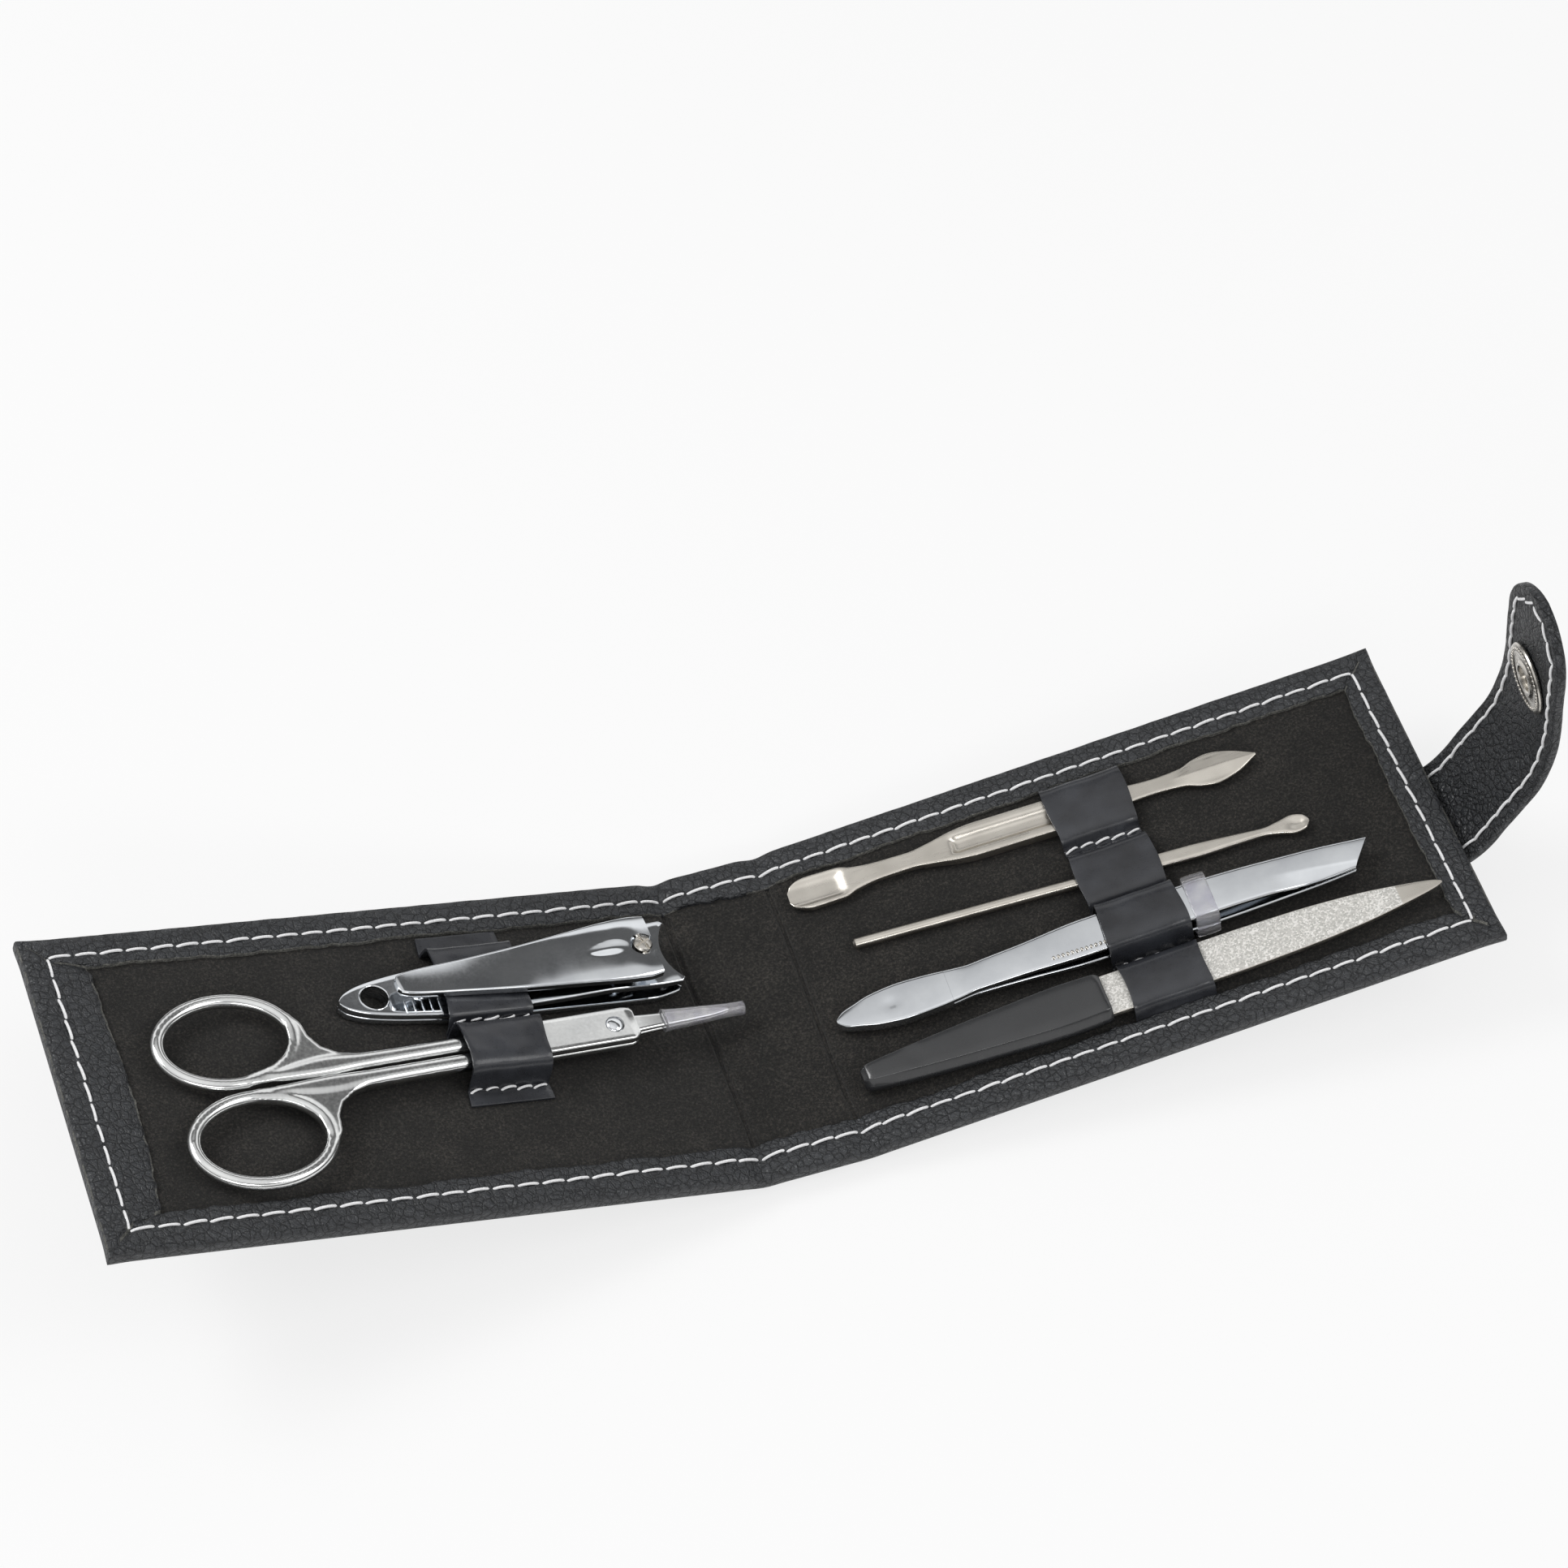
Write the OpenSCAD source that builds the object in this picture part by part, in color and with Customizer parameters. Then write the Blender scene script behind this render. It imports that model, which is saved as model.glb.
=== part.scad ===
// Folding manicure case of stitched leathercloth, lying open as a shallow V on its spine.
// X runs along the case, the lid toward -X and the tool panel toward +X; Y is its depth and Z is up.
// The origin is the middle of the spine's flat underside.

/* [Case] */
// Length of the lid and of the tool panel, from crease to free edge
panel_len = 103; // [101:1:112]
// Depth of the case
case_w = 58; // [57:1:66]
// Width of the spine between its two creases
spine_w = 17; // [16.6:0.2:20]
// Angle at which the lid stands open above the table
lid_open = 15.5; // [10:0.5:24]
// Angle at which the tool panel stands open above the table
panel_open = 7; // [3:0.5:14]
// Angle by which the closed lid slopes down toward the strap
lid_slope = 2.2; // [1.8:0.1:2.4]

/* [Covers] */
// Thickness of the leathercloth
leather_t = 0.8; // [0.6:0.1:0.9]
// Thickness of the stiffener boards
board_t = 1.2; // [0.9:0.1:1.4]
// Thickness of the suede lining
lining_t = 0.4; // [0.3:0.1:0.5]
// Width of the turned hem along the long edges
hem_w = 6.2; // [4.5:0.1:7]
// Width of the turned hem at the lid's free edge
lid_hem_w = 9.4; // [7:0.2:10]
// Width of the turned hem at the tool panel's free edge
panel_hem_w = 6; // [4.5:0.1:6.6]
// Free leather on each side of a crease, where no board lies
crease_gap = 3.2; // [3.1:0.1:3.8]

/* [Strap] */
// Width of the closing strap
strap_w = 19; // [15:0.5:21]
// Thickness of the doubled strap
strap_t = 1.6; // [1.2:0.1:1.8]
// Distance of the strap's centre line from the middle of the case, toward the near edge
strap_off = 3.5; // [2:0.5:8]
// Length of the strap that is sewn under the tool panel
strap_sewn = 15; // [10:1:22]
// Length of the strap's bend behind its riser
strap_bend_len = 9; // [8:0.5:11]
// Length of the strap's rounded end piece
strap_end_len = 25.2; // [24:0.2:30]
// Angle of the riser above the tool panel, lying open
riser_angle = 51; // [40:0.2:60]
// Angle by which the bend leans in from the riser
bend_angle = 20; // [10:0.2:21]
// Angle by which the end piece leans in from the bend
end_angle = 17.4; // [14:0.2:24]

/* [Snap] */
// Diameter of the domed snap cap
cap_d = 11; // [9:0.2:12.4]
// Height of the domed snap cap
cap_h = 1.7; // [1.2:0.1:2.4]
// Diameter of the snap socket
socket_d = 11.5; // [9:0.1:12]
// Thickness of the snap socket
socket_t = 1.1; // [0.9:0.1:1.2]
// Diameter of the stud's ball
stud_d = 3.8; // [3:0.1:4.4]
// Gap between strap and lid that the closed snap fills
snap_gap = 2; // [1.9:0.1:2.4]
// Distance from the riser to the snap, along the closed strap
snap_reach = 16.5; // [15.6:0.1:18]

/* [Loops] */
// Width of the vinyl strips that hold the tools
strip_w = 13; // [10:0.5:14]
// Thickness of the vinyl strips
strip_t = 0.4; // [0.3:0.05:0.5]
// Distance of the lid's strip from its crease
lid_strip_at = 28.8; // [27:0.2:31]
// Distance of the tool panel's strip from its crease
panel_strip_at = 45.4; // [45.2:0.1:46]

/* [Scissors] */
// Length from the pivot to the middle of the finger rings
shank_len = 59.4; // [58:0.2:62]
// Length of the blades past the pivot
blade_len = 19; // [17:0.5:19.5]
// Outer length of a finger ring
ring_len = 23.4; // [23:0.2:25]
// Outer width of a finger ring
ring_w = 17.8; // [16:0.2:17.8]
// Thickness of the ring wire
ring_wire = 2.4; // [2:0.1:2.6]
// Thickness of the two halves together at the pivot
scissors_t = 2.6; // [2.2:0.1:2.8]
// Diameter of the pivot screw
pivot_d = 3; // [2.4:0.1:3.4]
// Length of the soft tip sheath
sheath_len = 13.5; // [11:0.5:14]
// Wall of the soft tip sheath
sheath_wall = 0.3; // [0.3:0.1:0.5]

/* [Clipper] */
// Length of the clipper
clipper_len = 54.6; // [53:0.2:55]
// Width of the clipper's jaws
clipper_w = 11.8; // [11:0.2:12]
// Thickness of a leaf
leaf_t = 1.2; // [1:0.1:1.3]
// Diameter of the clipper's pin
pin_d = 2.2; // [1.8:0.1:2.4]
// Length of the clipper's lever
lever_len = 41.6; // [38:0.2:42]
// Diameter of the key ring hole
key_hole_d = 4.4; // [3:0.2:4.4]

/* [Tweezers] */
// Length of the tweezers
tweezers_len = 86.5; // [85:0.5:88]
// Widest part of the arms
tweezers_w = 6.8; // [6:0.2:7]
// Thickness of an arm
arm_t = 0.9; // [0.7:0.1:1]
// Length of the clear ring
band_len = 3.7; // [3:0.1:4.2]
// Wall of the clear ring
band_wall = 0.7; // [0.5:0.1:0.7]

/* [Small tools] */
// Length of the cuticle pusher
pusher_len = 76.7; // [74:0.1:80]
// Width of the pusher's handle
pusher_w = 6.2; // [6:0.2:7]
// Length of the ear pick
pick_len = 73.4; // [70:0.2:80]
// Diameter of the ear pick's wire
pick_d = 1.6; // [1.2:0.1:1.8]
// Length of the file with its handle
file_len = 94.3; // [92:0.1:96]
// Length of the file's handle
file_handle_len = 39.4; // [38:0.2:42]
// Width of the file's handle
file_handle_w = 8.8; // [8:0.2:9]
// Width of the file's blade
file_blade_w = 7.4; // [6.4:0.2:7.6]
// Thickness of the file's blade
file_blade_t = 0.9; // [0.7:0.1:1.1]

/* [Hidden] */
$fn = 48;

leather_colour = "#26272a";
lining_colour = "#1b1917";
board_colour = "#8b7355";
vinyl_colour = "#2c2e33";
chrome_colour = "#c9cdd1";
steel_colour = "#b9b5aa";
nickel_colour = "#b8b3a8";
clear_colour = "#dfe3ec";
thin = 0.01;
run_fit = 0.05;
seat_gap = 0.3;

// The crease line runs through the middle of the leather, and the tools lie above the lining
crease_z = leather_t / 2;
inner_z = leather_t + board_t + lining_t;
strap_hinge_x = panel_len + strap_t / 2 + 0.4;
half_w = case_w / 2;
// Distance from the middle of the case to the edge of a long hem
across = half_w - hem_w;
// Where the tool panel's tools lie, from its far hem to its near one
pusher_b = across - pusher_w / 2 - 1.1;
pick_b = pusher_b - pusher_w / 2 - 8.7;
file_b = file_handle_w / 2 + 0.5 - across;
tweezers_b = file_b + file_handle_w / 2 + 6.9;

// Height of the closed lid's outer face over the tool panel's underside, at a distance from the crease
function closed_lid_z(s) = crease_z + spine_w - s * tan(lid_slope) + crease_z / cos(lid_slope);
riser_len = closed_lid_z(strap_hinge_x) + snap_gap + strap_t;
// Distance from the lid's crease at which the closed strap brings its snap down
closed_corner_z = riser_len - strap_t / 2 - crease_z - spine_w;
stud_at = strap_hinge_x * cos(lid_slope) - closed_corner_z * sin(lid_slope) - snap_reach;
snap_on_end = snap_reach - strap_bend_len;

function flip(list) = [for (i = [len(list) - 1 : -1 : 0]) list[i]];
// A plan outline, the same on both sides of the centre line, from stations of [place, half width]
function both_sides(stations) = concat(stations, [for (p = flip(stations)) [p[0], -p[1]]]);
// A side outline of even thickness above a line of [place, height]
function sheet(line, thick) = concat(line, [for (p = flip(line)) [p[0], p[1] + thick]]);
// Unit vector to the left of the way from one point to the next
function left_of(a, b) = [a[1] - b[1], b[0] - a[0]] / norm(b - a);
// The same line moved to its left by a distance, with mitred corners
function beside(line, d) = [for (i = [0 : len(line) - 1])
    let (before = left_of(line[max(i - 1, 0)], line[max(i, 1)]),
        after = left_of(line[min(i, len(line) - 2)], line[min(i + 1, len(line) - 1)]))
    line[i] + d * (before + after) / (1 + before * after)];
function ellipse_at(long, wide) = [for (i = [0 : 47]) [long * cos(i * 7.5), wide * sin(i * 7.5)]];

module lid_frame() {
    translate([-spine_w / 2, 0, crease_z])
        rotate([0, lid_open, 0])
            translate([0, 0, -crease_z])
                children();
}

module panel_frame() {
    translate([spine_w / 2, 0, crease_z])
        rotate([0, -panel_open, 0])
            translate([0, 0, -crease_z])
                children();
}

// Places a tool that lies along the case from its left end; s is that end's distance from the crease
module on_lid(s, b, turn) {
    lid_frame()
        translate([-s, b, inner_z])
            rotate([0, 0, turn])
                children();
}

module on_panel(s, b, turn) {
    panel_frame()
        translate([s, b, inner_z])
            rotate([0, 0, turn])
                children();
}

// A side outline in X and Z, made as wide as it is asked for
module side_plate(points, wide) {
    rotate([90, 0, 0])
        linear_extrude(wide, center = true)
            polygon(points);
}

// What a plan outline and a side outline have in common
module cut_sheet(plan, side, wide) {
    intersection() {
        side_plate(side, wide);
        translate([0, 0, -20])
            linear_extrude(60)
                polygon(plan);
    }
}

// Cover of a panel: leathercloth below the board, round its edges and turned over the lining.
// It reaches from x_free, its free edge, to x_crease; end_hem is 0 on the spine, which has no free edge
module leather_shell(x_free, x_crease, end_hem) {
    toward = sign(x_crease - x_free);
    low = min(x_free, x_crease);
    long = abs(x_crease - x_free);
    wall = end_hem > 0 ? leather_t : -1;
    hem = end_hem > 0 ? end_hem : -1;
    color(leather_colour)
        difference() {
            translate([low, -half_w, 0])
                cube([long, case_w, inner_z + leather_t]);
            translate([low + (toward > 0 ? wall : -1), leather_t - half_w, leather_t])
                cube([long - wall + 1, case_w - 2 * leather_t, inner_z - leather_t]);
            translate([low + (toward > 0 ? hem : -1), hem_w - half_w, leather_t])
                cube([long - hem + 1, case_w - 2 * hem_w, inner_z + 1]);
        }
}

// A flat layer between the cover's walls
module layer(x_free, x_crease, end_wall, z, thick) {
    low = min(x_free + end_wall * sign(x_crease - x_free), x_crease);
    translate([low, leather_t - half_w, z])
        cube([abs(x_crease - x_free) - end_wall, case_w - 2 * leather_t, thick]);
}

spine_end = spine_w / 2 - crease_gap;

module spine_cover() {
    leather_shell(-spine_end, spine_end, 0);
}

module spine_board() {
    color(board_colour)
        layer(-spine_end, spine_end, 0, leather_t, board_t);
}

module spine_lining() {
    color(lining_colour)
        layer(-spine_end, spine_end, 0, leather_t + board_t, lining_t);
}

// Soft strip of leather and lining at a crease, bent as the case lies; side is -1 at the lid
module crease_strip(side, open_angle) {
    thick = leather_t + lining_t;
    fold_x = spine_w / 2;
    function bent(d, z) = [
        fold_x + d * cos(open_angle) - (z - crease_z) * sin(open_angle),
        crease_z + d * sin(open_angle) + (z - crease_z) * cos(open_angle)];
    function mitre(z) = [fold_x - (z - crease_z) * tan(open_angle / 2), z];
    points = [[spine_end, 0], mitre(0), bent(crease_gap, 0), bent(crease_gap, thick), mitre(thick),
        [spine_end, thick]];
    color(leather_colour)
        side_plate([for (p = points) [side * p[0], p[1]]], case_w);
}

module lid_crease() {
    crease_strip(-1, lid_open);
}

module panel_crease() {
    crease_strip(1, panel_open);
}

stud_shank_r = 1.2;
stud_base_t = 0.6;

module stud_hole(extra) {
    translate([-stud_at, -strap_off, -1])
        cylinder(r = stud_shank_r + extra, h = inner_z + 2);
}

module lid_cover() {
    lid_frame()
        difference() {
            leather_shell(-panel_len, -crease_gap, lid_hem_w);
            color(leather_colour)
                translate([-stud_at, -strap_off, -1])
                    cylinder(r = stud_shank_r + run_fit, h = leather_t + 2);
        }
}

washer_r = 3.2;
washer_t = 0.5;

module lid_board() {
    color(board_colour)
        lid_frame()
            difference() {
                layer(-panel_len, -crease_gap, leather_t, leather_t, board_t);
                stud_hole(run_fit);
                translate([-stud_at, -strap_off, leather_t + board_t - washer_t])
                    cylinder(r = washer_r + run_fit, h = washer_t + 1);
            }
}

module lid_lining() {
    color(lining_colour)
        lid_frame()
            layer(-panel_len, -crease_gap, leather_t, leather_t + board_t, lining_t);
}

// Stud of the snap, riveted through the lid's cover and board
module snap_stud() {
    color(nickel_colour)
        lid_frame()
            translate([-stud_at, -strap_off, 0]) {
                translate([0, 0, -stud_base_t])
                    cylinder(r = stud_d, h = stud_base_t);
                translate([0, 0, 0.2 - snap_gap])
                    cylinder(d = stud_d, h = snap_gap - 0.2);
                cylinder(r = stud_shank_r, h = leather_t + board_t);
            }
}

module stud_washer() {
    color(nickel_colour)
        lid_frame()
            translate([-stud_at, -strap_off, leather_t + board_t - washer_t])
                difference() {
                    cylinder(r = washer_r, h = washer_t);
                    translate([0, 0, -1])
                        cylinder(r = stud_shank_r + run_fit, h = washer_t + 2);
                }
}

module panel_cover() {
    panel_frame()
        leather_shell(panel_len, crease_gap, panel_hem_w);
}

module panel_board() {
    color(board_colour)
        panel_frame()
            layer(panel_len, crease_gap, leather_t, leather_t, board_t);
}

module panel_lining() {
    color(lining_colour)
        panel_frame()
            layer(panel_len, crease_gap, leather_t, leather_t + board_t, lining_t);
}

// A strip of vinyl that follows a line of [depth, height] over the tools, from its near end to its far one
module vinyl_strip(line) {
    color(vinyl_colour)
        rotate([90, 0, 90])
            linear_extrude(strip_w)
                polygon(concat(line, flip(beside(line, strip_t))));
}

// Arch over a tool from one depth to the other: up beside it, across and down again
function arch(near, far, high) = [[near, 0.05], [near + 0.15, high * 0.6], [near + 0.45, high],
    [far - 0.45, high], [far - 0.15, high * 0.6], [far, 0.05]];

// Width that a seam holds flat on the lining between two tools
seam_w = 1.3;
strip_flap = 3.2;
clipper_b = 10.1;
clipper_turn = 2;
jaw_s = 3.2;
clipper_seat = 0.3;
strip_over_leaf = clipper_seat + 2 * leaf_t + 1.05;
lid_seam_far = 2.6;
lid_seam_near = -6.7;

module lid_strip() {
    strip_to_tail = jaw_s + clipper_len - lid_strip_at - strip_w / 2;
    clipper_mid = clipper_b + strip_to_tail * sin(clipper_turn);
    clipper_near = clipper_mid - clipper_w / 2;
    clipper_far = clipper_mid + clipper_w / 2;
    lid_frame()
        translate([-lid_strip_at - strip_w, 0, inner_z])
            vinyl_strip(concat(
                [[lid_seam_near - strip_flap, 0.05]],
                arch(lid_seam_near, lid_seam_far, scissors_top + 0.2),
                [[lid_seam_far + seam_w, 0.05], [clipper_near - 0.9, strip_over_leaf]],
                [[clipper_far + 0.5, strip_over_leaf], [clipper_far + 1.5, 0.05], [across - strip_t, 0.05]]));
}

module panel_strip() {
    hem_edge = across - strip_t - 0.1;
    seam_far = pusher_b - pusher_w / 2 - 5.7;
    seam_near = file_b + file_blade_w / 2 + 0.9;
    over_tweezers = tweezers_top + 0.15;
    over_pick = pick_top + 0.2;
    panel_frame()
        translate([panel_strip_at, 0, inner_z])
            vinyl_strip(concat(
                arch(-hem_edge, seam_near, file_top + 0.2),
                [[tweezers_b - 5.4, 0.05], [tweezers_b - 5.1, over_tweezers]],
                [[tweezers_b + 2.7, over_tweezers], [tweezers_b + 4.1, over_pick]],
                [[seam_far - 2, over_pick], [seam_far, 0.05]],
                arch(seam_far + seam_w, hem_edge, pusher_top + 0.2)));
}

// Places a piece of the strap in the tool panel's frame at a hinge, leaning by its angle
module strap_frame() {
    panel_frame()
        translate([strap_hinge_x, -strap_off, -strap_t / 2])
            children();
}

module riser_frame() {
    strap_frame()
        rotate([0, -riser_angle, 0])
            children();
}

module bend_frame() {
    riser_frame()
        translate([riser_len, 0, 0])
            rotate([0, -bend_angle, 0])
                children();
}

module end_frame() {
    bend_frame()
        translate([strap_bend_len, 0, 0])
            rotate([0, -end_angle, 0])
                children();
}

// Each piece of the strap starts just clear of a hinge line and ends in a round edge on the next one
hinge_clear = strap_t / 2 + 0.12;

module strap_piece(from, to) {
    color(leather_colour) {
        translate([from, -strap_w / 2, -strap_t / 2])
            cube([to - from, strap_w, strap_t]);
        translate([to, strap_w / 2, 0])
            rotate([90, 0, 0])
                cylinder(d = strap_t, h = strap_w);
    }
}

module strap_root() {
    strap_frame()
        strap_piece(panel_len - strap_sewn - strap_hinge_x, 0);
}

module strap_riser() {
    riser_frame()
        strap_piece(hinge_clear, riser_len);
}

module strap_bend() {
    bend_frame()
        strap_piece(hinge_clear, strap_bend_len);
}

snap_shank_r = 1.5;

module strap_end() {
    tip_r = strap_w / 2;
    color(leather_colour)
        end_frame()
            difference() {
                union() {
                    translate([hinge_clear, -tip_r, -strap_t / 2])
                        cube([strap_end_len - tip_r - hinge_clear, strap_w, strap_t]);
                    translate([strap_end_len - tip_r, 0, -strap_t / 2])
                        cylinder(r = tip_r, h = strap_t);
                }
                translate([snap_on_end, 0, -strap_t])
                    cylinder(r = snap_shank_r + run_fit, h = 2 * strap_t);
            }
}

// Domed cap on the strap's outer face, with its hollow shank through the strap
module snap_cap() {
    dome_r = (cap_d * cap_d / 4 + cap_h * cap_h) / (2 * cap_h);
    color(nickel_colour)
        end_frame()
            translate([snap_on_end, 0, -strap_t / 2]) {
                intersection() {
                    translate([0, 0, dome_r - cap_h])
                        sphere(r = dome_r);
                    translate([0, 0, -cap_h])
                        cylinder(d = cap_d, h = cap_h);
                }
                difference() {
                    cylinder(r = snap_shank_r, h = strap_t);
                    translate([0, 0, strap_t / 2])
                        cylinder(r = snap_shank_r - 0.5, h = strap_t);
                }
            }
}

// Socket on the strap's inner face, which takes the stud
module snap_socket() {
    color(nickel_colour)
        end_frame()
            translate([snap_on_end, 0, strap_t / 2])
                difference() {
                    union() {
                        cylinder(d = socket_d, h = socket_t * 0.6);
                        cylinder(d = socket_d - 1.6, h = socket_t);
                    }
                    translate([0, 0, -1])
                        cylinder(d = stud_d + 0.6, h = socket_t + 2);
                }
}

// The scissors lie on the lid from the rings to the tips, which rise a little over the crease
scissors_s = 17.3;
scissors_b = -1;
scissors_turn = 3.2;
scissors_rise = 1.35;
ring_seat = 1.15;
ring_y = ring_w / 2 + 0.2;
pivot_z = ring_seat + ring_wire / 2 + (shank_len + ring_len / 2) * sin(scissors_rise);
scissors_top = pivot_z - 12 * sin(scissors_rise) + scissors_t / 2;
shank_side = 0.2;
shank_w = 2.7;
flat_start = -14;
flat_end = 3.6;
flat_w = 6.2;
blade_root_half = 1.5;
blade_half_t = 0.75;
tip_half_t = 0.6;

module scissors_frame() {
    on_lid(scissors_s, scissors_b, scissors_turn)
        translate([0, 0, pivot_z])
            rotate([0, -scissors_rise, 0])
                children();
}

// Oval finger ring with stepped edges, its middle at the origin
module finger_ring() {
    step = ring_wire * 0.28;
    for (level = [[0, ring_wire - 2 * step], [step, ring_wire]])
        translate([0, 0, -level[1] / 2])
            linear_extrude(level[1])
                difference() {
                    polygon(ellipse_at(ring_len / 2 - level[0], ring_w / 2 - level[0]));
                    polygon(ellipse_at(ring_len / 2 - ring_wire + level[0],
                        ring_w / 2 - ring_wire + level[0]));
                }
}

// Shank of one half, beside the centre line, flaring into its ring
module shank() {
    ring_end = ring_len / 2 - shank_len;
    translate([0, 0, 0.1 - scissors_t / 2])
        linear_extrude(scissors_t - 0.2)
            polygon([[flat_start, -shank_side], [ring_end - 6.8, -shank_side], [ring_end - 6.8, -2],
                [ring_end - 3, -2], [ring_end - 0.4, 1 - ring_y], [ring_end - 2.2, -ring_y - 4],
                [ring_end + 0.4, -ring_y], [ring_end + 2.6, -4.4],
                [ring_end + 6, -shank_side - shank_w], [flat_start, -shank_side - shank_w]]);
}

// Flat of one half at the pivot, in the lower half of the thickness, with its blade thinning to the tip
module flat_and_blade() {
    half = flat_w / 2;
    plan = concat(
        [[flat_start - 4, -shank_side - shank_w + 0.3], [flat_start - 4, -shank_side]],
        [[flat_start + 1, -shank_side], [flat_start + 1.2, half - 0.4], [flat_start + 2.2, half]],
        [[flat_end - 1.2, half], [flat_end, half - 1.2], [flat_end, blade_root_half]],
        [[blade_len - 3, 0.85], [blade_len, 0.4], [blade_len, -0.4], [blade_len - 3, -0.85]],
        [[flat_end, -blade_root_half], [flat_end, 1.2 - half], [flat_end - 1.2, -half]],
        [[flat_start + 1, -half]]);
    cut_sheet(plan,
        [[flat_start - 4, -run_fit], [flat_start - 4, -scissors_t / 2], [flat_end, -scissors_t / 2],
            [flat_end + 1, -blade_half_t], [blade_len, -tip_half_t], [blade_len, -run_fit]],
        2 * flat_w);
}

module scissors_half(hole_r) {
    color(chrome_colour)
        difference() {
            union() {
                translate([-shank_len, -ring_y, 0])
                    finger_ring();
                shank();
                flat_and_blade();
            }
            translate([0, 0, -5])
                cylinder(r = hole_r, h = 10);
        }
}

module scissors_near_half() {
    scissors_frame()
        scissors_half(pivot_d / 2 + 0.02);
}

module scissors_far_half() {
    scissors_frame()
        rotate([180, 0, 0])
            scissors_half(pivot_d / 2 + run_fit);
}

module scissors_screw() {
    color(nickel_colour)
        scissors_frame() {
            translate([0, 0, -scissors_t / 2])
                cylinder(d = pivot_d, h = scissors_t + 0.1);
            translate([0, 0, scissors_t / 2 + run_fit])
                cylinder(r = pivot_d / 2 + 0.7, h = 0.5);
        }
}

// Soft clear tube pushed over the blades' tips, wider and higher at its mouth
sheath_tip = blade_len + 2.7;

module scissors_sheath() {
    mouth = sheath_tip - sheath_len;
    room = 0.12;
    mouth_half = blade_root_half;
    tip_half = 0.7;
    wall = sheath_wall;
    color(clear_colour)
        scissors_frame()
            difference() {
                cut_sheet(both_sides([[mouth, mouth_half + wall], [sheath_tip, tip_half + wall]]),
                    [[mouth, -blade_half_t - room - wall], [mouth, blade_half_t + 3 * room + wall],
                        [sheath_tip, tip_half_t + room + wall], [sheath_tip, -tip_half_t - room - wall]],
                    4 * mouth_half);
                cut_sheet(both_sides([[mouth - 1, mouth_half + 0.1], [sheath_tip - 0.8, tip_half]]),
                    [[mouth - 1, -blade_half_t - room], [mouth - 1, blade_half_t + 3 * room],
                        [sheath_tip - 0.8, tip_half_t + room], [sheath_tip - 0.8, -tip_half_t - room]],
                    4 * mouth_half);
            }
}

// The clipper lies on the lid from its tail to its jaws, with the lever folded down over the strip
rivet_x = 12.6;
pin_x = clipper_len - 6.1;
leaf_flat = 20;
lower_top = clipper_seat + leaf_t;
upper_low = lower_top + run_fit;
upper_raised = clipper_seat + 3.5;
lever_axis_z = clipper_seat + 6.9;
lever_t = 1.3;
bar_r = 0.55;
bar_half = 3.4;
pin_head_r = 1.5;
lever_front_x = pin_x + 1.8;
lever_tail_x = lever_front_x - lever_len;

module clipper_frame() {
    on_lid(jaw_s + clipper_len, clipper_b, clipper_turn)
        children();
}

// Plan of both leaves: a rounded tail that widens to concave jaws
module leaf_plan() {
    half = clipper_w / 2;
    difference() {
        polygon(both_sides([[0, 0.5], [1, 1.5], [3.3, 2.6], [6, 3.3], [9.3, 3.9], [13, 4.4], [17, 4.9],
            [35, half - 0.4], [50, half], [clipper_len - 0.8, half], [clipper_len, half - 0.8]]));
        translate([clipper_len + 5.7, 0])
            circle(r = 8);
        translate([5.6, 0])
            circle(d = key_hole_d);
    }
}

module leaf(side) {
    intersection() {
        side_plate(side, clipper_w + 2);
        linear_extrude(12)
            leaf_plan();
    }
}

module clipper_lower_leaf() {
    color(chrome_colour)
        clipper_frame()
            difference() {
                leaf([[0, clipper_seat], [pin_x + 2.6, clipper_seat], [clipper_len, clipper_seat + 1.3],
                    [clipper_len, clipper_seat + 2.7], [pin_x + 2.2, lower_top], [0, lower_top]]);
                translate([pin_x, 0, 0])
                    cylinder(r = pin_d / 2 + run_fit, h = 4);
                translate([pin_x, 0, 0])
                    cylinder(r = pin_d / 2 + 0.8 + run_fit, h = clipper_seat + leaf_t / 2 + run_fit);
                translate([rivet_x, 0, 0])
                    cylinder(r = 1.3, h = 4);
            }
}

module clipper_upper_leaf() {
    color(chrome_colour)
        clipper_frame()
            difference() {
                leaf(sheet([[0, upper_low], [leaf_flat, upper_low], [pin_x - 5, upper_raised],
                    [pin_x + 2, upper_raised], [clipper_len, upper_raised + 0.35]], leaf_t));
                translate([pin_x, 0, 0])
                    cylinder(r = pin_d / 2 + 0.5, h = 10);
                translate([rivet_x, 0, 0])
                    cylinder(r = 1.5, h = 10);
            }
}

module clipper_tail_rivet() {
    head_z = 2 * leaf_t + run_fit + 0.35;
    color(chrome_colour)
        clipper_frame()
            translate([rivet_x, 0, clipper_seat]) {
                cylinder(r = 1.28, h = head_z);
                translate([0, 0, head_z])
                    cylinder(r = 1.9, h = 0.3);
            }
}

// The pin turns in the lower leaf and carries the lever on a cross bar
module clipper_pin() {
    color(nickel_colour)
        clipper_frame()
            translate([pin_x, 0, 0]) {
                translate([0, 0, clipper_seat])
                    cylinder(d = pin_d, h = lever_axis_z - clipper_seat);
                translate([0, 0, clipper_seat])
                    cylinder(r = pin_d / 2 + 0.8, h = leaf_t / 2);
                translate([0, bar_half, lever_axis_z])
                    rotate([90, 0, 0])
                        cylinder(r = bar_r, h = 2 * bar_half);
                translate([0, 0, lever_axis_z - 0.4])
                    cylinder(r = pin_head_r, h = 1.4);
            }
}

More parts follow.
